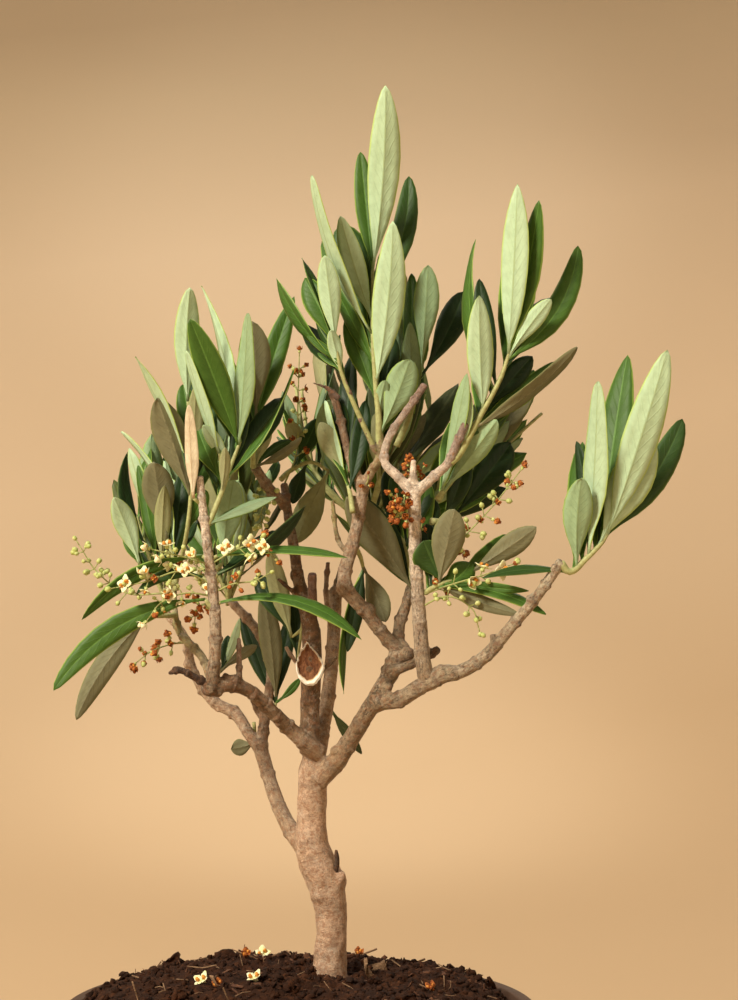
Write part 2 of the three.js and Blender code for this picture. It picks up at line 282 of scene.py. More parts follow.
band_foot = POT_HEIGHT - RIM_BAND
pot_profile = [
    (0, FOOT_HOLLOW),
    (FOOT_RADIUS - FOOT_RING - MM, FOOT_HOLLOW),
    (FOOT_RADIUS - FOOT_RING, 0),
    (FOOT_RADIUS - FOOT_CHAMFER, 0),
    (FOOT_RADIUS, FOOT_CHAMFER),
    (wall_radius(FOOT_STEP_HEIGHT) - STEP_DEPTH, FOOT_STEP_HEIGHT),
    (wall_radius(FOOT_STEP_HEIGHT), FOOT_STEP_HEIGHT + STEP_DEPTH),
    (wall_radius(STEP_HEIGHT), STEP_HEIGHT),
    (wall_radius(STEP_HEIGHT) + STEP_DEPTH / 2, STEP_HEIGHT + STEP_DEPTH),
    (wall_radius(band_foot), band_foot),
    (RIM_RADIUS - RIM_CHAMFER, band_foot + RIM_CHAMFER),
    (RIM_RADIUS - RIM_DRAFT, POT_HEIGHT - 3 * MM),
    (RIM_RADIUS, POT_HEIGHT - 2 * RIM_CHAMFER),
    (RIM_RADIUS, POT_HEIGHT - RIM_CHAMFER),
    (RIM_RADIUS - RIM_CHAMFER, POT_HEIGHT),
    (WALL_TOP - POT_WALL, POT_HEIGHT),
    (FOOT_RADIUS - POT_WALL, POT_FLOOR),
    (0, POT_FLOOR),
]
pot = turned(pot_profile, POT_TURNS)
corners = [e for e in pot.edges if e.is_manifold and e.calc_face_angle() > SHARP_TURN]
bmesh.ops.bevel(
    pot, geom=corners, offset=LIP_ROUND, segments=2, profile=0.5, affect="EDGES",
    material=-1,
)
drills = bmesh.new()
for hole in range(DRAIN_HOLES):
    turn = 2 * math.pi * hole / DRAIN_HOLES
    bmesh.ops.create_cone(
        drills, cap_ends=True, segments=24, radius1=DRAIN_RADIUS, radius2=DRAIN_RADIUS,
        depth=4 * POT_FLOOR,
        matrix=Matrix.Translation(
            (DRAIN_CIRCLE * math.cos(turn), DRAIN_CIRCLE * math.sin(turn), POT_FLOOR)
        ),
    )
drill = stand("drills", lone_mesh(drills, "drills"))
pot_mesh = applied(
    lone_mesh(pot, "pot"), "BOOLEAN", object=drill, operation="DIFFERENCE", solver="EXACT"
)
bpy.data.objects.remove(drill)

plastic = Finish("pot_plastic", Specular_IOR_Level=0.45)
here = plastic.place()
height = plastic.part(here, "Z")
smears = plastic.cloud(plastic.place((1, 1, 0.35)), 55, 5, 0.6)
scuffs = plastic.cloud(plastic.place((1, 1, 14)), 42, 4, 0.7).step(0.62, 0.72)
near_rim = height.step(POT_HEIGHT - 14 * MM, POT_HEIGHT)
dust = (smears + 0.30 * near_rim).step(0.50, 0.86)
pebbled = plastic.cloud(here, 1900, 2)
body_colour = plastic.mix(plastic.cloud(here, 21), (0.016, 0.007, 0.004), (0.032, 0.013, 0.008))
scuffed = plastic.mix(0.5 * scuffs, body_colour, (0.085, 0.042, 0.026))
dusted = plastic.mix(0.55 * dust, scuffed, (0.095, 0.048, 0.026))
pot_finish = plastic.show(
    Base_Color=dusted,
    Roughness=0.36 + 0.30 * dust + 0.12 * scuffs,
    Normal=plastic.bump(pebbled + 2 * smears, 0.05 * MM, 0.6),
)
pot_piece = place_piece("nursery_pot", pot_mesh, [pot_finish], ["pot"])
pot_piece.data.set_sharp_from_angle(angle=SMOOTH_TURN)

# The pot is filled with dark, moist, crumbly compost, heaped up to the foot of the trunk and higher
# on the left than on the right. Crumbs, clods, bark chips and bits of root lie on it.
SOIL_BELOW_RIM = 2 * MM
SOIL_MOUND = 10.5 * MM
SOIL_BANK = 3 * MM
SOIL_RINGS = 80
SOIL_TURNS = 240
SOIL_GAP = 0.6 * MM
SOIL_FLOOR = 2.1 * MM
SOIL_EDGE = POT_HEIGHT - SOIL_BELOW_RIM
SOIL_REACH = wall_radius(SOIL_EDGE) - POT_WALL - SOIL_GAP
TRUNK_FOOT = Vector((9.7, 10, 0)) * MM
CRUMB_SHAPE = (1, 0.8, 0.6)
ROOT_SHAPE = (1.5, 0.07, 0.07)
SCRAP_SHAPE = (1.1, 0.6, 0.10)
SOIL_CRUMB, DARK_CRUMB, BARK_CHIP, PALE_CHIP = range(4)
HEAP_FLATNESS = 4.5
HEAP_BACK_FALL = 2


def heap(share, turn):
    """A point on the heap: share is 0 at its crest by the trunk and 1 at its edge."""
    lift = 1 - share ** (HEAP_FLATNESS - HEAP_BACK_FALL * math.sin(turn))
    bank = -SOIL_BANK * math.cos(turn) * share
    around = Vector((math.cos(turn), math.sin(turn), 0)) * share * SOIL_REACH
    return around + lift * TRUNK_FOOT + Vector((0, 0, SOIL_EDGE + SOIL_MOUND * lift + bank))


def clods(spot, share):
    """How far the surface of the compost stands up at a spot."""
    calm = min(1.0, 0.35 + 4 * (1 - share))
    coarse = noise.fractal(spot * 62, 0.9, 2.1, 4)
    fine = noise.fractal(spot * 300, 0.7, 2.2, 3)
    crumbly = 0.5 - noise.noise(spot * 520, noise_basis="VORONOI_F1")
    return calm * (2.2 * MM * coarse + 1.0 * MM * fine + 1.1 * MM * crumbly)


soil_profile = [(0, SOIL_FLOOR), (wall_radius(SOIL_FLOOR) - POT_WALL - SOIL_GAP, SOIL_FLOOR)]
for ring in range(SOIL_RINGS, -1, -1):
    share = ring / SOIL_RINGS
    soil_profile.append((share * SOIL_REACH, SOIL_EDGE + SOIL_MOUND * (1 - share**5)))
soil = turned(soil_profile, SOIL_TURNS)
for vert in soil.verts:
    if vert.co.z > SOIL_EDGE - MM:
        share = min(1.0, math.hypot(vert.co.x, vert.co.y) / SOIL_REACH)
        vert.co = heap(share, math.atan2(vert.co.y, vert.co.x))
        vert.co.z += clods(vert.co, share)

compost = Finish("compost", Specular_IOR_Level=0.18)
here = compost.place()
lumps = compost.cloud(here, 240, 5, 0.65)
grit = compost.cloud(here, 1100, 3, 0.7)
damp = compost.cloud(here, 30, 3)
specks = compost.cells(here, 420).step(0.10, 0.22)
compost_colour = compost.ramp(
    lumps, (0.25, (0.010, 0.0030, 0.0008)), (0.5, (0.034, 0.0105, 0.0028)),
    (0.8, (0.105, 0.036, 0.012)),
)
compost_colour = compost.mix(0.30 * (1 - specks), compost_colour, (0.20, 0.072, 0.024))
soil_finish = compost.show(
    Base_Color=compost.mix(0.35 * damp, compost_colour, (0.013, 0.004, 0.001)),
    Roughness=0.72 + 0.25 * grit,
    Normal=compost.bump(lumps + 0.5 * grit, 0.9 * MM, 0.9),
)


def paint(faces, finish_number):
    """Gives faces one of their piece's finishes, by its place in the list."""
    for face in faces:
        face.material_index = finish_number


def crumb_mesh(seed, fineness, lumpiness):
    """One crumb: a ball pushed out of shape."""
    crumb = bmesh.new()
    bmesh.ops.create_icosphere(crumb, subdivisions=fineness, radius=1)
    for vert in crumb.verts:
        place = vert.co * 1.6 + Vector((seed * 7.1, seed, 0))
        vert.co += lumpiness * (noise.noise_vector(place) + 0.5 * noise.noise_vector(3 * place))
        vert.co = Vector(a * b for a, b in zip(vert.co, CRUMB_SHAPE))
    paint(crumb.faces, (SOIL_CRUMB, DARK_CRUMB)[seed % 2])
    return lone_mesh(crumb, "crumb")


def chip_mesh(seed, finish_number, stretch=(1, 0.42, 0.16), curl=0):
    """One flake of bark or bit of root: a bevelled sliver, bent and ragged."""
    chip = bmesh.new()
    bmesh.ops.create_cube(chip, size=2)
    bmesh.ops.subdivide_edges(chip, edges=chip.edges, cuts=1, use_grid_fill=True)
    for vert in chip.verts:
        ragged = noise.noise_vector(vert.co * 0.9 + Vector((seed * 3.7, 0, seed)))
        vert.co = Vector(a * b for a, b in zip(vert.co, stretch)) + 0.6 * stretch[1] * ragged
        vert.co.z += curl * vert.co.x**2
    bmesh.ops.bevel(
        chip, geom=chip.edges, offset=0.03, segments=1, profile=0.5, affect="EDGES", material=-1
    )
    paint(chip.faces, finish_number)
    return lone_mesh(chip, "chip")


def scatter(body, template, size, place, turn):
    """Adds one more copy of a small shape to a body."""
    copy = template.copy()
    copy.transform(Matrix.LocRotScale(place, turn, Vector((size,) * 3)))
    body.from_mesh(copy)
    bpy.data.meshes.remove(copy)


def any_turn(dice):
    """A turn in any direction."""
    axis = Vector([dice.gauss(0, 1) for _ in range(3)]).normalized()
    return Matrix.Rotation(dice.uniform(0, 2 * math.pi), 3, axis).to_quaternion()


def drop(share, turn, size, shapes, sunk):
    """Lays one crumb of the compost where it has come to rest, part of it sunk in."""
    spot = heap(share, turn)
    spot.z += clods(spot, share) + sunk * size
    scatter(crumbs, dice.choice(shapes), size, spot, any_turn(dice))


def strew(reach, size, shapes, sunk):
    """Drops one crumb anywhere on the compost, up to a share of the way out."""
    drop(math.sqrt(dice.random()) * reach, dice.uniform(0, 2 * math.pi), size, shapes, sunk)


CRUMBS = 5300
LEAST_CRUMB = 0.28 * MM
CRUMB_SPREAD = 1.5 * MM
BIG_CRUMB = 0.9 * MM
# Each kind of litter: how many, and its least and greatest size in millimetres.
CHIPS = (130, 0.5, 2.2)
ROOTS = (100, 1.0, 4.0)
# The few big clods and scraps of bark: share of the way out, turn about the trunk, and size.
CLODS = [
    (0.74, 28, 3.6), (0.72, 33, 2.8), (0.77, 23, 3.0), (0.55, 150, 3.4), (0.66, 40, 3.0),
    (0.86, 20, 2.8), (0.75, 30, 2.2), (0.70, 26, 2.4), (0.86, 141, 3.8), (0.90, 163, 3.0),
    (0.80, 118, 2.6), (0.45, 75, 2.8), (0.50, 250, 3.2), (0.70, 300, 3.6), (0.80, 220, 3.4),
    (0.62, 200, 2.6),
]
SCRAPS = [(0.17, 352, 3.4), (0.24, 22, 2.6), (0.35, 95, 2.6), (0.60, 215, 2.8)]

# Unless it's given a seed, noise_vector takes one from the clock, and each run comes out different.
noise.seed_set(31)
dice = random.Random(31)
small_crumbs = [crumb_mesh(seed, 1, 0.55) for seed in range(6)]
big_crumbs = [crumb_mesh(seed, 2, 0.75) for seed in range(6, 12)]
lumps = [crumb_mesh(seed, 3, 0.75) for seed in range(12, 17)]
chips = [chip_mesh(seed, BARK_CHIP) for seed in range(5)]
roots = [chip_mesh(seed, PALE_CHIP, ROOT_SHAPE, dice.uniform(-0.3, 0.3)) for seed in range(5)]
scraps = [chip_mesh(seed, PALE_CHIP, SCRAP_SHAPE, 0.35) for seed in range(3)]
crumbs = bmesh.new()
for _ in range(CRUMBS):
    size = LEAST_CRUMB + CRUMB_SPREAD * dice.random() ** 6
    strew(0.975, size, big_crumbs if size > BIG_CRUMB else small_crumbs, 0.2)
for shapes, (count, least, most) in ((chips, CHIPS), (roots, ROOTS)):
    for _ in range(count):
        strew(0.93, (least + (most - least) * dice.random() ** 2) * MM, shapes, 0.35)
for shapes, spots, sunk in ((lumps, CLODS, 0.25), (scraps, SCRAPS, 0.5)):
    for share, turn, size in spots:
        drop(share, math.radians(turn), size * MM, shapes, sunk)


def litter_finish(name, gloss, scale, stretch, roughness, depth, *stops):
    """The finish of crumbs and chips, fibrous along the upright axis by how far it's stretched."""
    litter = Finish(name, Specular_IOR_Level=gloss)
    fibres = litter.cloud(litter.place((1, 1, stretch)), scale, 4, 0.7)
    return litter.show(
        Base_Color=litter.ramp(fibres, *stops),
        Roughness=roughness[0] + roughness[1] * fibres,
        Normal=litter.bump(fibres, depth * MM),
    )


crumb_finishes = [
    soil_finish,
    litter_finish(
        "dark_crumb", 0.2, 900, 1, (0.65, 0.3), 0.4,
        (0.3, (0.006, 0.002, 0.0006)), (0.75, (0.046, 0.0145, 0.0042)),
    ),
    litter_finish(
        "bark_chip", 0.5, 600, 5, (0.7, 0.25), 0.4,
        (0.3, (0.040, 0.013, 0.005)), (0.55, (0.10, 0.034, 0.011)), (0.8, (0.30, 0.12, 0.035)),
    ),
    litter_finish(
        "pale_chip", 0.3, 700, 3, (0.6, 0.3), 0.3,
        (0.3, (0.085, 0.042, 0.020)), (0.55, (0.27, 0.16, 0.085)), (0.8, (0.44, 0.30, 0.18)),
    ),
]
place_piece("compost", soil, [soil_finish], ["soil"])
place_piece("compost_crumbs", crumbs, crumb_finishes)

# The trunk forks into boughs, and each limb is a tapering bar with a knuckle and a pair of leaf
# scars at every joint. Bark, collars and knobs are one living skin, so limbs are drawn, then fused.
SKIN_GRAIN = 0.48 * MM
SKIN_SOFTENING = 5
LIMB_SIDES = 20
STATION_GAP = 0.9 * MM
TINT_BLEND = 2.2 * MM
SPUR_SHARE = 0.55
BARE_JOINT_GAP = 12
KNUCKLE_REACH = 0.8 * MM
BUD_REACH = 1.1 * MM
CREASE_PLACE = 0.9 * MM
CREASE_REACH = 0.28 * MM
BARK_ROUGHNESS = 0.12 * MM
GIRTH_UNEVENNESS = 0.075
CUT_END = 0.75
POINTS_AT_ONCE = 2000
# Each bark's colour, and how rugged it is.
BARK_TINTS = {
    "trunk": (0.45, 0.292, 0.186, 0.15),
    "upper": (0.56, 0.385, 0.262, 0.25),
    "collar": (0.325, 0.222, 0.128, 0.6),
    "grey": (0.275, 0.203, 0.122, 1.0),
    "brown": (0.125, 0.066, 0.026, 0.8),
    "rosy": (0.44, 0.315, 0.21, 0.6),
    "buff": (0.51, 0.43, 0.295, 0.8),
    "pale": (0.80, 0.68, 0.54, 0.6),
    "dead": (0.075, 0.045, 0.030, 1.0),
    "green": (0.36, 0.36, 0.13, 0.2),
    "violet": (0.23, 0.145, 0.120, 0.5),
}

# Each limb has the route of its few bends, its thickness at each, its bark from foot to tip, the
# gap between its joints and how far its leaf scars stand out, all in millimetres.
LIMBS = {
    "trunk": (
        [(9.7, 10, 126), (9.7, 10, 130), (9.8, 10, 136), (10.2, 10, 144), (10, 10, 152),
         (9, 10, 159), (6.2, 10, 166), (3.8, 10, 173.5), (3.6, 10, 182), (3.9, 9, 191),
         (4.2, 8.6, 199), (4.4, 8.6, 204)],
        [13.6, 12.2, 11, 10.4, 10.6, 12.2, 12.8, 11.8, 10, 9.6, 10, 7],
        ("trunk", "upper"), 23, 0.06,
    ),
    "right_bough": (
        [(6.2, 6.2, 196.2), (11.6, 3.6, 202), (17.2, 0, 210.6), (21, -4, 217.4), (25.2, -7, 223.8)],
        [7.2, 6.8, 5.9, 5.7, 6.2], ("collar", "grey"), 9, 0.45,
    ),
    "right_outer_limb": (
        [(24, -6.6, 222.6), (32, -9, 223.8), (39.3, -12, 228.2), (45.6, -14, 231.8),
         (53.9, -16, 234.2), (61.6, -18, 239.9), (68.2, -20, 247.9), (76, -22, 257.2),
         (84.5, -24, 269.6)],
        [5.6, 5.5, 5.5, 5.6, 4.6, 4.3, 3.9, 3.5, 3.4], ("grey", "buff"), 8, 0.5,
    ),
    "inner_bough": (
        [(25, -7, 223.5), (28.9, -4, 230.6), (33, 0, 239.5)],
        [6, 5.6, 5.8], ("grey", "grey"), 8, 0.45,
    ),
    "inner_limb": (
        [(32.9, 0, 238.6), (28, -2, 244.2), (22.3, -4, 251.6), (15.7, -6, 259.5), (14.8, -5, 264.7),
         (17.1, -3, 273.2), (19.5, 0, 284.1), (20.8, 2, 294.3)],
        [4.8, 4.6, 4.6, 5, 4.6, 4.3, 4.2, 4.3], ("grey", "rosy"), 9, 0.5,
    ),
    "inner_left_arm": (
        [(20.8, 2, 293.6), (17.2, 3, 300.6), (14.9, 5, 308.9), (12.7, 7, 318.3), (10.3, 8, 325.7)],
        [3.6, 3.3, 3, 2.7, 2.8], ("rosy", "brown"), 8, 0.45,
    ),
    "inner_right_arm": (
        [(20.8, 2, 293.4), (23.8, 0, 298.9), (26.4, -2, 303.2), (26.2, -2.4, 311)],
        [3.4, 3.1, 3.1, 2.7], ("rosy", "green"), 7, 0.4,
    ),
    "inner_short_limb": (
        [(32.4, 0, 239), (32.9, 5, 247.5), (34.7, 9, 252.3), (37, 15, 260)],
        [4.4, 4, 3.7, 3.4], ("grey", "grey"), 7, 0.5,
    ),
    "left_bough": (
        [(6.4, 6.2, 204.6), (2.6, 3.6, 207.6), (-3.4, 1.4, 213.4), (-10.5, -4, 221),
         (-16.3, -8, 226.8), (-22.1, -11, 228.8), (-28.4, -14, 228.7)],
        [6.4, 6, 5, 4.7, 4.6, 4.8, 5.2], ("collar", "brown"), 7, 0.5,
    ),
    "left_upright": (
        [(-28.2, -14, 228.4), (-27.2, -15, 237.2), (-26.8, -16, 248.6), (-27.8, -17, 261.6),
         (-29.7, -18, 277.7), (-31.9, -18, 296.7)],
        [4.8, 4.2, 3.9, 3.6, 3.2, 2.6], ("grey", "pale"), 9, 0.45,
    ),
    "left_cut_twig": (
        [(-19.2, -9.6, 227.8), (-19.6, -9, 235.2), (-19.6, -9, 244.3)],
        [2.4, 2, 1.7], ("grey", "violet"), 6, 0.3,
    ),
    # The middle bough is dark brown up to its tip: partly its own dark bark, partly painted shade
    # from the leaves over it.
    "middle_bough": (
        [(3.4, 8.6, 204.5), (3, 8, 218), (3.7, 7, 232.4), (3.7, 7, 244.4), (1, 8, 255.7),
         (-1, 9, 264), (-2.3, 11, 273), (-4.4, 15, 284), (-6, 20, 294.5)],
        [7.4, 6.6, 6.8, 6.4, 5, 4.1, 3.7, 3.3, 2.8], ("brown", "brown"), 10, 0.4,
    ),
    "back_bough": (
        [(5.6, 11, 203), (7.8, 18, 215.4), (9.5, 22, 227.2), (10.6, 26, 241.2), (11.3, 32, 257.4)],
        [5.8, 5.1, 4.8, 4.8, 4.5], ("rosy", "rosy"), 10, 0.4,
    ),
    "back_limb": (
        [(11.2, 31.4, 255.8), (14.6, 42, 266.4), (21.9, 56, 279.5)],
        [4, 3.5, 3.2], ("grey", "grey"), 8, 0.4,
    ),
    "back_twig": (
        [(10.5, 26.4, 243), (8.2, 24.6, 255.7), (8.8, 24, 268)],
        [2.4, 2, 1.7], ("rosy", "violet"), 7, 0.3,
    ),
    "low_bough": (
        [(2.8, 11, 170), (-5.1, 18, 180.3), (-9.2, 24, 188.3), (-12, 29, 195.9), (-14.6, 33, 204)],
        [6.6, 5.5, 5.1, 4.8, 5.2], ("collar", "rosy"), 12, 0.3,
    ),
    "low_bough_left_limb": (
        [(-14.4, 32.8, 203), (-18.7, 36, 208.2), (-23.2, 40, 214.4), (-31, 43, 218.6),
         (-36.3, 45, 224.7), (-39.6, 47, 231.9), (-41.7, 48, 240.6), (-49.4, 50, 250.5)],
        [4.4, 4.2, 4.4, 4.2, 3.6, 3.3, 3.2, 2.9], ("rosy", "rosy"), 8, 0.45,
    ),
    "low_bough_right_limb": (
        [(-14.4, 33, 203.2), (-13.1, 37, 214.6), (-11.8, 40, 223), (-11.5, 42, 231.6),
         (-16.1, 46, 242.8), (-26.2, 50, 254)],
        [4.2, 3.8, 3.5, 3.5, 3.5, 3.2], ("brown", "rosy"), 8, 0.45,
    ),
}
PALE_LIMBS = {
    "right_upright": (
        [
            (41.5, -13, 230), (39.9, -14, 240.4), (38.8, -15, 256.6), (37.8, -16, 272.8),
            (37.2, -17, 292),
        ],
        [5.8, 5.0, 4.5, 4.3, 4.6], ("grey", "pale"), 9, 0.4,
    ),
    "right_upright_left_arm": (
        [(37.2, -17, 290.5), (32.3, -16, 296.4), (27.8, -15, 301.6), (29.5, -14, 309.7),
         (35.6, -14, 318.8), (41.1, -14, 326.6)],
        [3.6, 3.4, 2.9, 2.7, 2.5, 2.7], ("pale", "violet"), 9, 0.35,
    ),
    "right_upright_right_arm": (
        [
            (37.4, -17, 290.5), (43.8, -19, 296.7), (48.2, -20, 300.9), (51, -21, 307.3),
            (53.9, -22, 313.7),
        ],
        [3.6, 3.3, 3.2, 2.9, 2.9], ("pale", "violet"), 8, 0.4,
    ),
    "right_upright_stub": (
        [(37.2, -17, 291), (37.1, -17.2, 296), (37.1, -17.4, 302)],
        [3.4, 2.8, 1.8], ("pale", "pale"), 7, 0.2,
    ),
    "left_back_limb": (
        [(-28, -13.4, 230), (-31.8, -7, 237.6), (-36.3, -3, 241.9), (-40, 0, 246), (-41.6, 2, 255),
         (-41.4, 4, 265)],
        [3.1, 2.9, 3, 2.6, 2, 1.7], ("grey", "green"), 7, 0.4,
    ),
}
DEAD_LIMBS = {
    "left_dead_twig": (
        [
            (-26.6, -13.4, 228.9), (-28.6, -14, 229.2), (-33.6, -16, 231.8), (-38.4, -18, 234.2),
            (-41.8, -19, 233),
        ],
        [2.8, 2.8, 2.5, 2.3, 1.4], ("dead", "dead"), 5, 0.4,
    ),
    "middle_cut_stub": (
        [(3.9, 6.2, 247), (4, 4.4, 255.8), (4, 2, 264.8)],
        [3.6, 3.3, 3.2], ("brown", "violet"), 9, 0.15,
    ),
    "trunk_snag": (
        [(11.4, 7.4, 164.5), (12.2, 5.8, 168.4), (11.8, 5, 173)],
        [2.4, 2.0, 1.4], ("dead", "dead"), 6, 0.15,
    ),
}
# Short snags and shoots on them that were pinched off, too small to carry anything.
STUBS = {
    "inner": (
        [(30, -5, 232.5), (38, -8, 236), (45, -9.4, 240)],
        [3.6, 3.1, 2.9], ("grey", "brown"), 7, 0.3,
    ),
    "inner_back": (
        [(16.6, -3, 271), (12.6, 2, 275.8), (10.6, 4, 289)],
        [2.2, 1.9, 1.5], ("brown", "green"), 9, 0.25,
    ),
    "middle_left": (
        [(1.6, 6.4, 233), (-1.6, 4.8, 235.4), (-5, 4, 240.6)],
        [2.2, 1.7, 1.5], ("brown", "rosy"), 7, 0.2,
    ),
    "middle_right": (
        [(5.4, 6, 230), (7.6, 5, 232.6), (12.2, 4.6, 237)],
        [2.2, 1.7, 1.5], ("brown", "rosy"), 7, 0.2,
    ),
    "middle_high": (
        [(-0.8, 8.6, 256.4), (-3.2, 6.6, 259), (-7.6, 5, 263)],
        [2.2, 1.6, 1.4], ("brown", "dead"), 7, 0.2,
    ),
    "middle_arm": (
        [(-5, 16.5, 287), (-10, 14, 292), (-15.6, 11, 300.4)],
        [3.8, 3.8, 3.2], ("rosy", "grey"), 6, 0.4,
    ),
    "outer": (
        [(60.8, -18, 239.6), (62.6, -19, 243), (62.4, -19.4, 246)],
        [2.4, 1.9, 1.6], ("grey", "grey"), 6, 0.2,
    ),
    "low": (
        [(-17.6, 36, 221), (-15.6, 38, 215), (-12.6, 39, 213)],
        [2, 1.8, 2], ("brown", "brown"), 8, 0.2,
    ),
    "right_knob": (
        [(34.4, 9, 251.6), (35.8, 7, 254.4), (35.9, 6.4, 257)],
        [2.6, 2, 1.8], ("grey", "grey"), 6, 0.2,
    ),
    "top_left": (
        [(25, -3, 304.4), (19, -6, 318), (14.3, -8, 329.4)],
        [1.9, 1.6, 1.4], ("violet", "violet"), 12, 0.2,
    ),
    "scrap": (
        [(13, -6.6, 322), (9.4, -6.8, 325.4), (4.2, -7, 327.4)],
        [2.6, 1.7, 0.6], ("dead", "brown"), 20, 0.1,
    ),
    "left_hook": (
        [(-20, -10.6, 227.6), (-23.4, -12.4, 231.4), (-24.4, -12.6, 232.6)],
        [3, 2, 1.4], ("brown", "dead"), 6, 0.2,
    ),
}
# Knobs where limbs were once cut away, and the swollen collars round them: place and radius.
KNOBS = [
    (13.0, 7.8, 163.4, 2.4), (11.0, 9.4, 161, 4.6), (8.2, 9.4, 158, 5.4), (3.3, 5.4, 232.6, 3.6),
    (3.4, 5.6, 236.4, 3.2), (-28.6, -14, 228.2, 3.1), (-21.6, -11.2, 229.6, 2.7),
    (-26.2, -14, 226.8, 1.8), (14.6, -6.2, 260.2, 2.9), (22.6, -4.4, 252.6, 2.6),
    (46.2, -14, 232.6, 3.2), (42.6, -13.6, 229.8, 2.8), (48.6, -14.6, 234.2, 1.9),
    (44.8, -9.6, 240, 1.5), (25.8, -7.4, 222.8, 3.3), (33.2, 0.4, 239.6, 3.3),
    (60.9, -18.6, 238.6, 1.9), (75.2, -21.8, 257.0, 2.2), (-14.6, 33, 204.4, 3.0),
    (9.6, 5.4, 199.4, 3.0), (11.4, 32, 257, 2.7), (20.6, 1.8, 293.8, 2.5),
    (-40.2, 46.8, 231.6, 2.1), (-1.2, 9.2, 263.6, 2.4), (29.6, -4.4, 232, 3.2),
    (35.4, -2.6, 238.2, 2.6), (3.6, 5.6, 207, 3.3), (19.6, -3.2, 214.8, 3.0),
]


def smooth_route(bends, gap):
    """Points no more than a gap apart on a smooth curve through the bends, each with its place."""
    bends = [Vector(bend) * MM for bend in bends]
    headings = [bends[1] - bends[0]]
    headings += [after - before for before, after in zip(bends, bends[2:])]
    headings += [bends[-1] - bends[-2]]
    headings = [heading.normalized() for heading in headings]
    stations = []
    for leg, (near, far) in enumerate(zip(bends, bends[1:])):
        reach = (far - near).length / 3
        count = max(2, math.ceil((far - near).length / gap) + 1)
        points = interpolate_bezier(
            near, near + headings[leg] * reach, far - headings[leg + 1] * reach, far, count
        )
        stations += [(point, leg + k / (count - 1)) for k, point in enumerate(points[:-1])]
    return stations + [(bends[-1], len(bends) - 1)]


def between(values, place):
    """The value part of the way between two listed ones."""
    below = min(int(place), len(values) - 2)
    share = place - below
    return values[below] * (1 - share) + values[below + 1] * share


def extruded(body, edges):
    """Extrudes a loop of edges. Gives the new loop's corners and edges."""
    grown = bmesh.ops.extrude_edge_only(body, edges=edges)["geom"]
    ring = [part for part in grown if isinstance(part, bmesh.types.BMVert)]
    grown_edges = [part for part in grown if isinstance(part, bmesh.types.BMEdge)]
    return ring, [edge for edge in grown_edges if all(vert in ring for vert in edge.verts)]


def sweep(body, bends, radii, sides, gap):
    """Draws a round bar through the bends. Gives the place, axes and radius of each ring."""
    ring = bmesh.ops.create_circle(body, segments=sides, radius=1)["verts"]
    edges = list({edge for vert in ring for edge in vert.link_edges})
    first_edges, made = edges, list(ring)
    route = smooth_route(bends, gap)
    points = [point for point, _ in route]
    ahead = (points[1] - points[0]).normalized()
    turn = ahead.to_track_quat("Z", "Y")
    stands, pose_before = [], Matrix.Identity(4)
    for k, (point, place) in enumerate(route):
        heading = (points[min(k + 1, len(points) - 1)] - points[max(k - 1, 0)]).normalized()
        turn = ahead.rotation_difference(heading) @ turn
        ahead = heading
        radius = between(radii, place)
        pose = Matrix.LocRotScale(point, turn, Vector((radius, radius, 1)))
        if k:
            ring, edges = extruded(body, edges)
            made += ring
        bmesh.ops.transform(body, matrix=pose @ pose_before.inverted(), verts=ring)
        pose_before = pose
        stands.append((point, turn.to_matrix(), radius))
    bmesh.ops.edgeloop_fill(body, edges=first_edges)
    bmesh.ops.edgeloop_fill(body, edges=edges)
    faces = list({face for vert in made for face in vert.link_faces})
    bmesh.ops.recalc_face_normals(body, faces=faces)
    return stands


def draw_limbs(body, limbs):
    """Draws limbs with their spurs. Gives a row of facts about each ring of each limb."""
    dice = random.Random(len(limbs))
    rows = []
    for number, (route, girth, bark, joint_gap, scar) in enumerate(limbs.values()):
        radii = [thickness * MM / 2 for thickness in girth]
        stands = sweep(body, route, radii, LIMB_SIDES, STATION_GAP)
        foot_tint, tip_tint = (Vector(BARK_TINTS[name]) for name in bark)
        run = 0.0
        for k, (point, axes, radius) in enumerate(stands):
            run += (point - stands[max(k - 1, 0)][0]).length
            rows.append([
                *point, *axes.col[0], *axes.col[1], *axes.col[2], radius, run, number,
                *foot_tint.lerp(tip_tint, k / len(stands)),
                joint_gap * MM, scar * MM, k == len(stands) - 1,
            ])
        spurs = int(run / (joint_gap * MM)) if joint_gap < BARE_JOINT_GAP else 0
        for spur in range(spurs):
            if dice.random() < SPUR_SHARE:
                point, axes, radius = stands[round((spur + 0.8) / (spurs + 1) * (len(stands) - 1))]
                side = axes @ Vector((dice.gauss(0, 1), dice.gauss(0, 1), 0)).normalized()
                bmesh.ops.create_icosphere(
                    body, subdivisions=2, radius=radius * dice.uniform(0.36, 0.6),
                    matrix=Matrix.Translation(point + side * radius * dice.uniform(0.75, 1.0)),
                )
    return np.array(rows)


def fuse(body):
    """Fuses limbs and knobs that run into each other into one soft skin."""
    fused = applied(
        lone_mesh(body, "limbs"), "REMESH", mode="VOXEL", voxel_size=SKIN_GRAIN,
        use_smooth_shade=True,
    )
    body = bmesh.new()
    body.from_mesh(fused)
    for _ in range(SKIN_SOFTENING):
        bmesh.ops.smooth_vert(
            body, verts=body.verts, factor=0.5, use_axis_x=True, use_axis_y=True, use_axis_z=True
        )
    body.to_mesh(fused)
    body.free()
    return fused


def keep(mesh, name, kind, field, values):
    """Keeps a value with each point of a mesh, for its finish to read."""
    layer = mesh.attributes.new(name, kind, "POINT")
    layer.data.foreach_set(field, values.astype(np.float32).ravel())


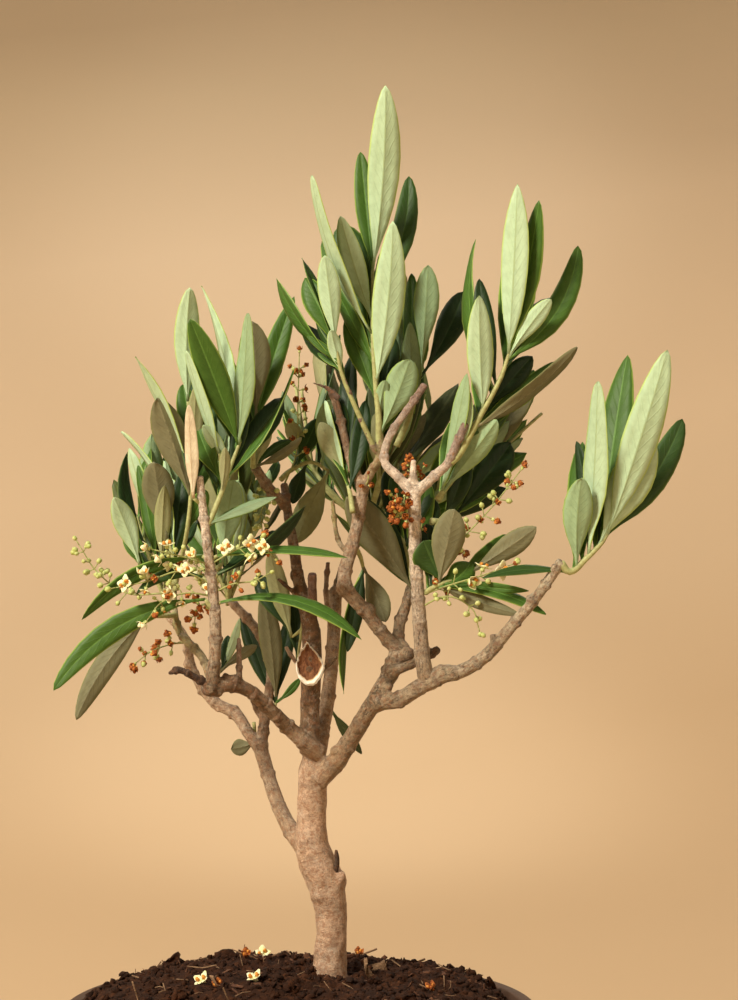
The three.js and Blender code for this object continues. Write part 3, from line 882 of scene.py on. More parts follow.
def bark_skin(limbs, knobs):
    """Fuses limbs into one skin with bark relief. Each point keeps its grain and its tint."""
    body = bmesh.new()
    rows = draw_limbs(body, limbs)
    for x, y, z, radius in knobs:
        bmesh.ops.create_icosphere(
            body, subdivisions=3, radius=radius * MM,
            matrix=Matrix.Translation(Vector((x, y, z)) * MM),
        )
    fused = fuse(body)
    centres, radii = rows[:, 0:3], rows[:, 12]
    count = len(fused.vertices)
    spots, normals = np.empty(count * 3), np.empty(count * 3)
    fused.vertices.foreach_get("co", spots)
    fused.vertex_normals.foreach_get("vector", normals)
    spots, normals = spots.reshape(-1, 3), normals.reshape(-1, 3)
    nearest, tints = np.empty(count, int), np.empty((count, 4))
    for start in range(0, count, POINTS_AT_ONCE):
        some = slice(start, start + POINTS_AT_ONCE)
        apart = np.linalg.norm(spots[some, None, :] - centres[None], axis=2) - radii[None]
        nearest[some] = apart.argmin(axis=1)
        sway = np.exp(-(apart - apart.min(axis=1, keepdims=True)) / TINT_BLEND)
        tints[some] = sway @ rows[:, 15:19] / sway.sum(axis=1, keepdims=True)
    home = rows[nearest]
    away = spots - home[:, 0:3]
    grain = np.stack([(away * home[:, 3 * k:3 * k + 3]).sum(axis=1) for k in (1, 2, 3)], axis=1)
    run = home[:, 13] + grain[:, 2]
    girth = np.hypot(grain[:, 0], grain[:, 1])
    turn = np.arctan2(grain[:, 1], grain[:, 0])
    gap, scar = home[:, 19], home[:, 20]
    joint = np.round(run / gap)
    from_joint = run - gap * (joint + 0.22 * np.sin(7.3 * joint + 3.1 * home[:, 14]))
    phase = turn - joint * math.pi / 2 - 1.3 * home[:, 14]
    round_scar = girth * np.arccos(np.clip(np.cos(2 * phase), -1, 1)) / 2
    knuckle = np.exp(-((from_joint / KNUCKLE_REACH) ** 2))
    bud = np.exp(-(from_joint**2 + round_scar**2) / BUD_REACH**2)
    crease = np.exp(-(((from_joint - CREASE_PLACE) / CREASE_REACH) ** 2))
    rise = scar * (0.30 * knuckle + 1.1 * bud - 0.5 * crease)
    grain[:, 2] = run + 0.37 * home[:, 14]
    for k in range(count):
        across = Vector(grain[k] * (900, 900, 260))
        swell = Vector(grain[k] * (260, 260, 230))
        rise[k] += BARK_ROUGHNESS * tints[k, 3] * noise.noise(across)
        rise[k] += GIRTH_UNEVENNESS * girth[k] * noise.noise(swell)
    spots += normals * rise[:, None]
    fused.vertices.foreach_set("co", spots.ravel())
    ends = (home[:, 21] > 0) & ((normals * home[:, 9:12]).sum(axis=1) > CUT_END)
    tints[ends] = tints[ends] * (0.55, 0.50, 0.55, 1)
    keep(fused, "grain", "FLOAT_VECTOR", "vector", grain)
    keep(fused, "tint", "FLOAT_COLOR", "color", tints)
    keep(fused, "joint", "FLOAT", "value", np.clip(knuckle + bud, 0, 1))
    fused.update()
    return fused


def bark_finish(name, fleck_share, fleck_tone, lichen, rust, roughness):
    """Bark in its limb's tint: mottled and speckled, with cracks and flecks where it is rugged."""
    bark = Finish(name, Specular_IOR_Level=0.45)
    tint, rugged = bark.kept("tint", "Color"), bark.kept("tint", "Alpha")
    joint = bark.kept("joint", "Fac")
    here = bark.place()
    fissures = bark.cloud(bark.grain((1, 1, 0.45)), 1500, 6, 0.75)
    wrinkles = bark.cloud(bark.grain((0.3, 0.3, 1)), 1100, 4, 0.68).step(0.32, 0.68)
    mottle = bark.cloud(here, 560, 6, 0.74).step(0.34, 0.66)
    grit = bark.cloud(here, 1900, 4, 0.75).step(0.34, 0.66)
    patches = bark.cloud(here, 150, 4, 0.6).step(0.34, 0.66)
    bloom = bark.cloud(here, 240, 6, 0.74)
    speck = 1 - bark.cells(here, 1250).step(0.10, 0.30)
    fleck = 1 - bark.cells(bark.grain((1, 1, 0.36)), 900).step(0.16, 0.36)
    fleck = fleck * bark.cloud(bark.grain(), 420, 2).step(1 - fleck_share, 1.08 - fleck_share)
    shade = 0.42 + 0.26 * patches + 0.36 * mottle + 0.20 * wrinkles + 0.30 * grit
    shade = shade + rugged * (1.2 * fissures - 0.62)
    grey = bark.add("ShaderNodeCombineXYZ", values={0: shade, 1: shade, 2: shade})
    colour = bark.mix(1.0, tint, grey, "MULTIPLY")
    colour = bark.mix(0.48 * bloom.step(0.51, 0.60) * lichen, colour, (0.56, 0.46, 0.35))
    rusty = bark.cloud(here, 700, 5, 0.75).step(0.50, 0.57)
    colour = bark.mix(rust * rusty, colour, (0.28, 0.120, 0.050))
    colour = bark.mix(0.75 * fleck, colour, fleck_tone)
    colour = bark.mix(0.55 * speck * mottle.step(0.62, 0.50), colour, (0.14, 0.068, 0.032))
    cracks = rugged * fissures.step(0.48, 0.36) * (1 - 0.6 * patches)
    colour = bark.mix(0.80 * cracks, colour, (0.055, 0.028, 0.015))
    colour = bark.mix(0.45 * joint * patches, colour, (0.075, 0.038, 0.020))
    relief = rugged * (2 * fissures - cracks)
    relief = relief + 0.35 * mottle + 0.25 * wrinkles + 0.3 * grit + 0.4 * fleck
    return bark.show(
        Base_Color=colour,
        Roughness=roughness + 0.3 * mottle - 0.12 * (1 - rugged),
        Normal=bark.bump(relief, 0.34 * MM, 0.85),
    )


old_bark = bark_finish("olive_bark", 0.40, (0.50, 0.41, 0.29), 0.8, 0.55, 0.42)
young_bark = bark_finish("pale_young_bark", 0.46, (0.42, 0.20, 0.070), 1.0, 0.28, 0.42)
dead_bark = bark_finish("dead_wood", 0.30, (0.20, 0.14, 0.10), 0.3, 0.4, 0.72)
place_piece("trunk_and_boughs", bark_skin(LIMBS | STUBS, KNOBS), [old_bark], list(LIMBS))
place_piece("pale_limbs", bark_skin(PALE_LIMBS, []), [young_bark], list(PALE_LIMBS))
place_piece("dead_stubs", bark_skin(DEAD_LIMBS, []), [dead_bark], list(DEAD_LIMBS))

# An old limb was sawn off the middle bough. The tree has rolled a pale callus round the cut, over a
# ring of sapwood and a heart that has gone brown and rough.
SCAR_PLACE = Vector((3.4, 1.3, 234.6)) * MM
SCAR_WIDE = 4.7 * MM
SCAR_TALL = 7.1 * MM
SCAR_DEPTH = 3.4 * MM
SCAR_TILT = math.radians(84)
SCAR_TURN = math.radians(-4)
CALLUS, SAPWOOD, HEART = range(3)
# The rings of the cut from its rim inward: width, how deep each steps, its wood, and its lift.
SCAR_RINGS = [
    (0.24, 0.30, CALLUS, 0.1), (0.22, -0.10, CALLUS, 0.5), (0.22, -0.85, CALLUS, 0.35),
    (0.22, -0.10, SAPWOOD, 0.1), (0.6, -0.25, HEART, 0),
]

scar = bmesh.new()
bmesh.ops.create_circle(scar, cap_ends=True, segments=44, radius=1)
for vert in scar.verts:
    x, y, _ = vert.co
    ragged = 1 + 0.09 * noise.noise(Vector((4 * x, 4 * y, 0)))
    pinch = 1 - 0.62 * max(0, y) ** 1.3
    vert.co = Vector((x * SCAR_WIDE * pinch - 1.5 * MM * max(0, y), y * SCAR_TALL, 0)) * ragged
(cut,) = scar.faces
cut.normal_update()
if cut.normal.z < 0:
    cut.normal_flip()
border = list(scar.edges)
for width, depth, wood, lift in SCAR_RINGS:
    ring = bmesh.ops.inset_individual(
        scar, faces=[cut], thickness=width * MM, depth=depth * MM
    )["faces"]
    paint(ring, wood)
    bmesh.ops.translate(scar, verts=cut.verts, vec=(-0.10 * MM, lift * MM, 0))
middle = bmesh.ops.poke(scar, faces=[cut])["faces"]
spokes = list({edge for face in middle for edge in face.edges})
middle = bmesh.ops.subdivide_edges(scar, edges=spokes, cuts=3, use_grid_fill=True)["geom"]
paint([part for part in middle if isinstance(part, bmesh.types.BMFace)], HEART)
back, back_edges = extruded(scar, border)
bmesh.ops.translate(scar, verts=back, vec=(0, 0, -SCAR_DEPTH))
bmesh.ops.scale(scar, verts=back, vec=(0.74, 0.84, 1))
bmesh.ops.edgeloop_fill(scar, edges=back_edges)
for vert in scar.verts:
    vert.co += 0.26 * MM * noise.noise_vector(vert.co * 1100)
lean = Matrix.Rotation(SCAR_TILT, 3, "X") @ Matrix.Rotation(SCAR_TURN, 3, "Z")
stance = Matrix.LocRotScale(SCAR_PLACE, lean.to_quaternion(), None)
bmesh.ops.transform(scar, matrix=stance, verts=scar.verts)
bmesh.ops.recalc_face_normals(scar, faces=scar.faces)


def cut_wood(name, colour, other, stretch, depth):
    wood = Finish(name, Specular_IOR_Level=0.3)
    fibres = wood.cloud(wood.place(stretch), 900, 5, 0.7)
    pits = wood.cloud(wood.place(), 700, 4, 0.65)
    return wood.show(
        Base_Color=wood.mix(fibres.step(0.36, 0.64), wood.mix(pits, colour, other), other),
        Roughness=0.6 + 0.3 * pits,
        Normal=wood.bump(fibres + pits, depth),
    )


scar_finishes = [
    cut_wood("callus", (0.94, 0.92, 0.86), (0.82, 0.74, 0.60), (1, 1, 1), 0.2 * MM),
    cut_wood("sapwood", (0.78, 0.62, 0.38), (0.55, 0.34, 0.16), (1, 1, 0.3), 0.2 * MM),
    cut_wood("heartwood", (0.42, 0.190, 0.080), (0.11, 0.038, 0.016), (1, 1, 0.30), 0.6 * MM),
]
place_piece("pruning_scar", scar, scar_finishes)

# Leaves grow in opposite pairs on slender green shoots that go on from the limbs. Each is a thick,
# leathery blade with a sunk midrib, dark green above, silvery below and edged in yellow-green.
BLADE_ROWS = (0, 0.07, 0.15, 0.25, 0.37, 0.5, 0.62, 0.73, 0.83, 0.91, 0.97, 1)
PLAIN_ROWS = (0, 0.07, 0.2, 0.38, 0.56, 0.74, 0.9, 1)
BLADE_COLUMNS = (-1, -0.55, -0.06, 0, 0.06, 0.55, 1)
PLAIN_COLUMNS = (-1, -0.1, 0.1, 1)
PETIOLE_SHARE = 0.07
PETIOLE_RADIUS = 0.50 * MM
BLADE_THICKNESS = 0.42 * MM
EDGE_THICKNESS = 0.22 * MM
RIB_RISE = 0.30 * MM
RIB_SINK = 0.12 * MM
RIB_HALF = 0.12
TIP_HALF = 0.12 * MM
LEAF_TWIST = 9
LEAF_WAVE = 0.05
LEAF_CURL = 0.16
UPPER, LOWER, UPPER_RIB, LOWER_RIB, EDGE = LEAF_PARTS = range(5)


def leaf_template(rows, columns):
    """One flat closed leaf on a unit grid. Gives its mesh and each point's column, row and side."""
    blade = bmesh.new()
    bmesh.ops.create_grid(blade, x_segments=len(columns) - 1, y_segments=len(rows) - 1, size=1)
    uv = blade.loops.layers.uv.new("UVMap")
    bmesh.ops.solidify(blade, geom=blade.faces, thickness=0.1)
    bmesh.ops.recalc_face_normals(blade, faces=blade.faces)
    heights = [vert.co.z for vert in blade.verts]
    halfway = (max(heights) + min(heights)) / 2
    step = [
        (round((v.co.x + 1) / 2 * (len(columns) - 1)), round((v.co.y + 1) / 2 * (len(rows) - 1)),
         v.co.z > halfway)
        for v in blade.verts
    ]
    for face in blade.faces:
        sides = {step[vert.index][2] for vert in face.verts}
        middle = sum(abs(columns[step[vert.index][0]]) for vert in face.verts) / 4
        stalk = all(rows[step[vert.index][1]] <= PETIOLE_SHARE for vert in face.verts)
        upper = sides == {True}
        if len(sides) == 2:
            face.material_index = LOWER_RIB if stalk else EDGE
        elif middle < RIB_HALF or stalk:
            face.material_index = UPPER_RIB if upper else LOWER_RIB
        else:
            face.material_index = UPPER if upper else LOWER
        for loop in face.loops:
            column, row, _ = step[loop.vert.index]
            loop[uv].uv = ((columns[column] + 1) / 2, rows[row])
    mesh = lone_mesh(blade, "leaf")
    grid = (
        np.array([columns[column] for column, _, _ in step]),
        np.array([row for _, row, _ in step]),
        np.array([1.0 if upper else -1.0 for _, _, upper in step]),
    )
    parts = np.array([face.material_index for face in mesh.polygons])
    return mesh, grid, parts, np.array(rows)


FINE_LEAF = leaf_template(BLADE_ROWS, BLADE_COLUMNS)
PLAIN_LEAF = leaf_template(PLAIN_ROWS, PLAIN_COLUMNS)


def leaf_points(template, base, tip, facing, width, bow, roll, fold, widest, dice):
    """Bends a leaf from base to tip. facing is where its upper side looks before it is rolled."""
    _, (across, row, side), _, rows = template
    chord = np.array(tip - base)
    bow = np.array(bow)
    spine = np.array(base) + rows[:, None] * chord + (4 * rows * (1 - rows))[:, None] * bow
    ahead = chord + (4 * (1 - 2 * rows))[:, None] * bow
    ahead /= np.linalg.norm(ahead, axis=1)[:, None]
    sideways = np.cross(ahead, np.array(facing))
    sideways /= np.linalg.norm(sideways, axis=1)[:, None]
    upward = np.cross(sideways, ahead)
    turn = roll + math.radians(dice.uniform(-LEAF_TWIST, LEAF_TWIST)) * (rows - 0.4) * 2
    wide_way = sideways * np.cos(turn)[:, None] + upward * np.sin(turn)[:, None]
    up_way = upward * np.cos(turn)[:, None] - sideways * np.sin(turn)[:, None]
    blade = np.clip((rows - PETIOLE_SHARE) / (1 - PETIOLE_SHARE), 0, 1)
    power = math.log(0.5) / math.log(widest)
    plump = np.where(blade < widest, dice.uniform(0.80, 1.0), dice.uniform(0.50, 0.66))
    half = width / 2 * np.sin(math.pi * blade**power) ** plump
    half = np.maximum(half, PETIOLE_RADIUS * (1 - 0.85 * rows**6))
    half[-1] = TIP_HALF
    wave = LEAF_WAVE * width * np.sin(rows * dice.uniform(7, 11) + dice.uniform(0, 6))
    reach, spread = half[row], np.abs(across)
    valley = np.clip((rows[row] - 0.03) * 8, 0, 1) * math.sin(fold) * reach * spread
    curl = LEAF_CURL * reach * spread**3
    middle = np.clip(1 - spread / RIB_HALF, 0, 1)
    body = EDGE_THICKNESS + (BLADE_THICKNESS - EDGE_THICKNESS) * (1 - spread**2)
    thin = np.clip((1 - rows[row]) * 9, 0.25, 1)
    lift = side * body / 2 * thin
    rib = np.where(side > 0, RIB_SINK, RIB_RISE) * middle
    lift -= rib * thin * np.clip(1.25 - rows[row], 0, 1)
    stalk = rows[row] <= PETIOLE_SHARE
    lift = np.where(stalk, side * PETIOLE_RADIUS * 0.8 * (1.2 - spread * 0.5), lift)
    height = valley - curl + lift + (wave[row] * np.sign(across) * spread**2) * ~stalk
    return (
        spine[row] + wide_way[row] * (across * reach * math.cos(fold))[:, None]
        + up_way[row] * height[:, None]
    )


class Spray:
    """The leaves of one mass, joined as one piece as they grow."""

    def __init__(self):
        self.body, self.points, self.parts = bmesh.new(), [], []

    def leaf(self, template, age, *shape):
        self.body.from_mesh(template[0])
        self.points.append(leaf_points(template, *shape))
        self.parts.append(len(LEAF_PARTS) * AGES.index(age) + template[2])

    def finish(self, name, node):
        mesh = lone_mesh(self.body, name)
        mesh.vertices.foreach_set("co", np.concatenate(self.points).ravel())
        parts = np.concatenate(self.parts).astype(np.int32)
        mesh.polygons.foreach_set("material_index", parts)
        mesh.update()
        place_piece(name, mesh, leaf_finishes, [node])


def blade_finish(name, colour, vein, roughness, mottle, gloss, margin):
    """One side of a blade: plain in colour but for mottling, faint side veins and a bright edge."""
    blade = Finish(name, Specular_IOR_Level=gloss)
    here = blade.place()
    uv = blade.add("ShaderNodeTexCoord", out="UV")
    across = abs(blade.part(uv, "X") - 0.5) * 2
    along = blade.part(uv, "Y")
    clouds = blade.cloud(here, 330, 4, 0.6)
    grains = blade.cloud(here, 2600, 2, 0.6)
    ribs = ((along * 13 - across * 2.2) * 2 * math.pi + 4 * clouds).wave()
    veins = ribs.step(0.80, 1.0) * across.step(0.95, 0.35)
    spots = blade.cloud(here, 900, 2).step(0.70, 0.76)
    shade = blade.mix(mottle * clouds.step(0.35, 0.70), colour, vein)
    shade = blade.mix(0.22 * veins, shade, vein)
    shade = blade.mix(0.30 * spots, shade, (0.16, 0.12, 0.05))
    shade = blade.mix(0.75 * across.step(0.86, 0.97), shade, margin)
    return blade.show(
        Base_Color=shade,
        Roughness=roughness + 0.12 * grains + 0.05 * clouds,
        Normal=blade.bump(0.8 * veins + 0.5 * clouds + 0.35 * grains, 0.12 * MM, 0.7),
    )


def stem_finish(name, colour, other):
    """The finish of ribs, shoots and stalks: streaked from one green to another."""
    stem = Finish(name, Specular_IOR_Level=0.4)
    here = stem.place()
    streaks = stem.cloud(here, 700, 4, 0.6)
    return stem.show(
        Base_Color=stem.mix(streaks.step(0.35, 0.7), colour, other),
        Roughness=0.48 + 0.2 * streaks,
        Normal=stem.bump(streaks, 0.1 * MM, 0.6),
    )


# What a leaf of each age looks like: its upper side and the paler veins of that, its lower side and
# the darker veins of that, its rib and its edge.
LEAF_COLOURS = {
    "young": (
        (0.095, 0.200, 0.020), (0.15, 0.28, 0.04), (0.475, 0.645, 0.420), (0.345, 0.475, 0.285),
        (0.36, 0.48, 0.25), (0.45, 0.60, 0.12),
    ),
    "grown": (
        (0.045, 0.112, 0.010), (0.075, 0.165, 0.022), (0.310, 0.445, 0.250), (0.22, 0.32, 0.17),
        (0.25, 0.35, 0.16), (0.29, 0.42, 0.07),
    ),
    "old": (
        (0.024, 0.064, 0.008), (0.040, 0.090, 0.016), (0.215, 0.305, 0.170), (0.155, 0.215, 0.12),
        (0.18, 0.24, 0.11), (0.14, 0.22, 0.04),
    ),
    "dark": (
        (0.011, 0.033, 0.006), (0.020, 0.050, 0.012), (0.145, 0.205, 0.120), (0.10, 0.15, 0.085),
        (0.12, 0.16, 0.07), (0.08, 0.13, 0.025),
    ),
    "brown": (
        (0.050, 0.066, 0.017), (0.075, 0.09, 0.028), (0.190, 0.185, 0.100), (0.135, 0.130, 0.068),
        (0.23, 0.22, 0.12), (0.19, 0.20, 0.07),
    ),
    "olive": (
        (0.068, 0.098, 0.021), (0.10, 0.13, 0.035), (0.340, 0.355, 0.185), (0.24, 0.25, 0.12),
        (0.34, 0.35, 0.17), (0.31, 0.34, 0.11),
    ),
    "dry": (
        (0.56, 0.45, 0.28), (0.30, 0.19, 0.10), (0.70, 0.62, 0.44), (0.40, 0.28, 0.16),
        (0.57, 0.45, 0.28), (0.62, 0.50, 0.30),
    ),
}
AGES = list(LEAF_COLOURS)
leaf_finishes = []
for age, (upper, upper_vein, lower, lower_vein, rib, edge) in LEAF_COLOURS.items():
    leaf_finishes += [
        blade_finish(f"{age}_leaf_upper", upper, upper_vein, 0.44, 0.45, 0.32, edge),
        blade_finish(f"{age}_leaf_lower", lower, lower_vein, 0.60, 0.50, 0.25, edge),
        stem_finish(f"{age}_leaf_upper_rib", tuple(1.3 * part for part in upper_vein), upper_vein),
        stem_finish(f"{age}_leaf_lower_rib", rib, lower_vein),
        stem_finish(f"{age}_leaf_edge", edge, tuple(0.8 * part for part in edge)),
    ]

# The shoots at the front, with the leaves that lead each of them. A shoot has its route; a leaf has
# its share of the way up the shoot, its lean from upright, its length and breadth as they look from
# the front, its age, the side it shows, and how far it bows, in degrees and millimetres.
FRONT_SHOOTS = {
    "top": [
        ([(26, -2, 303), (26, -3, 316), (25, -3, 327), (24, -2, 345), (24, 0, 365)], [
            (1.00, 4, 61, 11, "young", "under", 1), (1.00, -6, 39, 7, "grown", "top", 0),
            (0.84, 16, 43, 8, "old", "top", 3), (0.40, 6, 54, 11, "young", "under", 1.4),
            (0.68, -18, 36, 13, "old", "top", 1), (0.65, -21, 56, 4, "young", "under", -3),
            (0.74, -17, 36, 8, "young", "under", 0), (0.50, -27, 34, 5, "grown", "top", 0),
            (0.13, 22, 27, 11, "grown", "under", 0), (0.20, 9, 14, 5, "grown", "under", 0),
            (0.30, -20, 30, 8, "grown", "top", 0), (0.28, 12, 24, 7, "dark", "top", 0),
        ]),
    ],
    "top_left": [
        ([(25, -3, 305), (19, -6, 318), (14, -8, 330), (12, -9, 339)], [
            (1.00, -7, 30, 8, "young", "under", 0), (0.98, -24, 26, 9, "grown", "top", 0),
            (1.00, -21, 31, 3, "old", "top", 0), (0.84, -36, 35, 4, "grown", "top", -2),
            (0.77, -14, 15, 5, "young", "under", 0), (0.90, -52, 13, 3, "grown", "top", 0),
        ]),
    ],
    "top_right": [
        ([(32, 10, 307), (37, 12, 319), (40, 14, 331)], [
            (1.00, 4, 37, 9, "grown", "under", 1), (0.78, -2, 40, 6, "grown", "top", 0),
            (0.50, 0, 31, 7, "old", "under", 0), (0.96, 27, 33, 10, "dark", "top", 1),
        ]),
    ],
    "right": [
        ([(49, -20, 301), (52, -20, 304), (58, -21, 315), (65, -22, 328), (68, -22, 337)], [
            (0.95, 3, 55, 9, "young", "under", 0), (1.00, 11, 49, 8, "grown", "top_near", 1.5),
            (0.92, 32, 43, 8, "grown", "top", 5), (0.92, 36, 24, 6, "young", "under", 0),
            (0.65, -7, 49, 4, "grown", "top", -4), (0.48, -2, 37, 9, "young", "under", 0),
            (0.70, -9, 35, 7, "dark", "top", -1), (0.43, 41, 25, 8, "dark", "top", 0),
            (0.37, 52, 32, 7, "grown", "top", 1), (0.32, 52, 42, 5, "brown", "under", 2),
            (0.12, 10, 20, 3, "young", "under", 0),
        ]),
    ],
    "right_low": [
        ([(45, -14, 289), (47, -13, 292), (51, -12, 297), (54, -10, 301)], [
            (0.14, 37, 30, 9, "grown", "under", 0), (0.17, 12, 40, 5, "grown", "under", 0),
            (1.00, 33, 33, 8, "old", "top", 0),
        ]),
        ([(43, -14, 282), (47, -11, 282), (50, -9, 283)], [
            (1.00, 38, 31, 12, "dark", "top", 0), (0.60, 20, 22, 8, "dark", "top", 0),
        ]),
    ],
    "far_right": [
        ([(84, -24, 269), (87, -24, 266), (92, -24, 270), (97, -24, 275), (99, -24, 278)], [
            (0.33, 3, 29, 10, "grown", "under", 0), (0.54, -6, 37, 5, "dark", "top", 1),
            (0.54, 3, 56, 7, "young", "under", 0), (0.82, 8, 61, 10, "grown", "top", 0),
            (0.97, 18, 62, 12, "young", "under", 1), (0.75, 27, 39, 14, "young", "under", 0),
            (0.99, 33, 44, 10, "old", "top", 3), (0.78, 6, 27, 5, "dark", "top", 0),
            (0.16, -94, 28, 3, "old", "top", 1),
        ]),
    ],
    "middle_right": [
        ([(41, -15, 259), (44, -17, 261), (49, -16, 263), (53, -14, 264)], [
            (0.36, 12, 25, 11, "brown", "under", 0), (0.30, 56, 14, 9, "grown", "top", 2),
            (1.00, 56, 29, 8, "brown", "under", 1), (0.30, 104, 37, 4, "grown", "top", -3),
            (0.37, 110, 28, 5, "brown", "under", 0), (0.54, 95, 28, 4, "grown", "top", 0),
            (0.50, -24, 15, 12, "old", "top_near", 0), (0.20, -4, 21, 8, "dark", "top", 0),
        ]),
    ],
    "centre": [
        ([(38, 12, 257), (37, 13, 262), (36, 14, 269), (34, 16, 277)], [
            (0.08, -35, 39, 13, "brown", "under", 0), (0.16, -27, 33, 8, "dark", "top", 0),
            (0.11, -46, 38, 3, "grown", "top", 0), (1.00, -5, 22, 8, "old", "top", 0),
            (0.83, 18, 27, 8, "dark", "top", 0), (0.45, 12, 30, 9, "grown", "top", 0),
            (0.60, 25, 22, 9, "dark", "top", 0), (0.60, -14, 31, 8, "dark", "top", 0),
        ]),
    ],
    "hanging": [
        ([(18, -4, 274), (20, 2, 270), (21, 6, 266)], [
            (0.96, -171, 42, 2.6, "grown", "top", 3), (1.00, -169, 28, 6, "dark", "top", 0),
            (0.84, 158, 20, 8, "brown", "under", 0),
        ]),
    ],
    "centre_back": [
        ([(-7, 20, 296), (-4, 24, 299), (3, 28, 302), (9, 30, 299)], [
            (1.00, -156, 27, 10, "olive", "under", 0), (0.88, 6, 23, 8, "grown", "under", 0),
            (0.41, 24, 18, 7, "old", "top", 0), (0.70, -30, 16, 6, "olive", "under", 0),
            (0.60, -160, 15, 6, "dark", "top", 0),
        ]),
        ([(-15.4, 11, 298.5), (-15, 10, 300.4)], [
            (0.90, 58, 18, 3.5, "brown", "under", 1), (0.90, 22, 13, 4, "olive", "under", 0),
        ]),
        ([(17.5, -5, 285), (16.6, -1, 291), (15, 3, 297)], [
            (1.00, -5, 25, 7, "dark", "top", 0), (0.90, -15, 27, 2.5, "young", "under_far", 0),
            (0.80, -24, 22, 7, "olive", "under_far", 0), (0.95, 3, 40, 7, "dark", "top", 0),
            (0.60, 10, 30, 7, "dark", "top", 0),
        ]),
    ],
    "left_top": [
        ([(-29, -18, 281), (-25, -16, 291), (-22, -14, 300), (-19, -13, 308)], [
            (0.97, -21, 44, 10.5, "grown", "top_near", 1),
            (1.00, -14, 52, 4, "young", "under_far", 2.5),
            (0.96, 4, 43, 7, "grown", "under", 0), (0.56, 32, 41, 3, "grown", "top", 3),
            (0.44, -24, 22, 8, "grown", "top", 0), (0.34, 5, 15, 4, "olive", "under", 0),
            (0.70, -34, 16, 5, "young", "under", 0), (0.66, 12, 24, 6, "dark", "top", 0),
        ]),
        ([(-16, 10, 300), (-15.5, 4, 307), (-14.5, 0, 315)], [
            (1.00, -2, 33, 11, "brown", "under", 0), (0.97, 17, 43, 8, "grown", "top", -1),
            (0.60, -12, 26, 6, "dark", "top", 0),
        ]),
        ([(-24, -15, 294), (-25.6, -15.4, 304)], [(1.00, -18, 35, 4, "young", "under", 0)]),
    ],
    "left_tall": [
        ([(-41, 3, 262), (-36.5, -8, 280), (-35, -10, 296), (-35.4, -11, 312), (-36, -12, 321)], [
            (1.00, 1, 37, 9, "young", "under", -1), (0.58, -24, 45, 4, "young", "under", 1),
            (0.51, -19, 34, 12, "brown", "under", 0), (0.74, -7, 22, 7, "grown", "top", 0),
            (0.66, 3, 26, 6, "olive", "under", 0), (0.30, 24, 15, 6, "grown", "top_near", 0),
            (0.52, 14, 26, 6, "dark", "top", 0),
        ]),
        ([(-31.6, -18, 288), (-33.6, -20, 289.6)], [(1.00, -3, 30, 5, "dry", "under", 0)]),
    ],
    "left_outer": [
        ([(-41, 2, 259), (-42, 3, 269), (-44, 4, 276)], [
            (0.96, -10, 26, 11, "brown", "under", 0), (0.57, -22, 46, 3, "young", "under_far", 5),
            (0.60, 6, 30, 7, "dark", "top", 0),
        ]),
        ([(-41, 3, 262), (-47, 5, 269), (-51, 7, 273)], [
            (0.79, -14, 35, 4, "dark", "top", -4), (0.68, -11, 31, 5, "grown", "top", 0),
            (0.50, 2, 26, 6, "olive", "under", 0),
        ]),
        ([(-41, 2, 261), (-47, 2, 264), (-53, 2, 267.5)], [
            (1.00, -21, 24, 8, "young", "under", 0), (0.70, -36, 15, 4, "grown", "top", 0),
        ]),
    ],
    "left_drooping": [
        ([(-28, -17, 254), (-30, -18, 257)], [(0.90, -121, 57, 8, "grown", "top", 7)]),
        ([(-28, -17, 269), (-31, -18, 271)], [(0.90, -118, 44, 5, "grown", "top", 5)]),
        ([(-28, -16, 262), (-31, -16, 264)], [(0.90, -104, 22, 4, "old", "top", 3)]),
    ],
    "left_hanging": [
        (
            [(-41, 1, 251), (-44, -6, 251), (-49, -10, 251)],
            [(1.00, -145, 41, 8, "brown", "under", 2)],
        ),
    ],
    "front_upper": [
        ([(-28, -17, 263), (-26, -18, 265)], [(0.88, 52, 36, 4, "dark", "top", 2)]),
        ([(-28, -17, 270), (-26, -18, 271)], [(0.86, 91, 42, 3, "grown", "top", -2)]),
        ([(-30, -18, 280), (-28, -18, 282)], [(0.60, 68, 24, 3.5, "old", "under", -1)]),
        ([(-28, 4, 266), (-26, 6, 268)], [(0.90, 8, 28, 10, "grown", "under", 0)]),
    ],
    "front_lower": [
        ([(-27, -16, 255), (-25, -17, 256)], [(0.85, 105, 47, 4, "grown", "top", -7)]),
    ],
}
# Leaves that hang behind the boughs, from short shoots of their own on bare wood.
INNER_LEAVES = [
    ([(10, 26, 241), (11, 32, 227), (10, 36, 216)], [(1.00, 145, 18, 4, "brown", "top", 0)]),
    ([(1, 9, 250), (-1.2, 12, 235)], [(1.00, -4, 21, 7, "dark", "top", 0)]),
    ([(-17, 37, 212), (-16.4, 40, 205)], [(1.00, -105, 9, 6, "brown", "under", 0)]),
    ([(-27, 50, 252), (-26, 46, 263)], [(1.00, 5, 33, 10, "grown", "under", 0)]),
    ([(-10, 38, 216), (-9.4, 40, 220)], [
        (1.00, -7, 39, 8, "brown", "under", 0), (0.80, 10, 32, 6, "dark", "top", 0),
        (0.60, 45, 12, 3, "grown", "top", 0), (0.50, -20, 34, 7, "dark", "top", 0),
    ]),
    ([(-28, -12, 231), (-27, -3, 231.6), (-26, 4, 232.6)], [
        (1.00, 19, 18, 3, "young", "under", 0), (0.80, 55, 15, 4, "brown", "under", 0),
        (0.90, 11, 12, 4, "dark", "top", 0),
    ]),
    (
        [(0.6, 10, 246), (-3, 12, 243)],
        [(1.00, -30, 24, 8, "dark", "top", 0), (1.00, -14, 30, 7, "olive", "under", 0)],
    ),
]
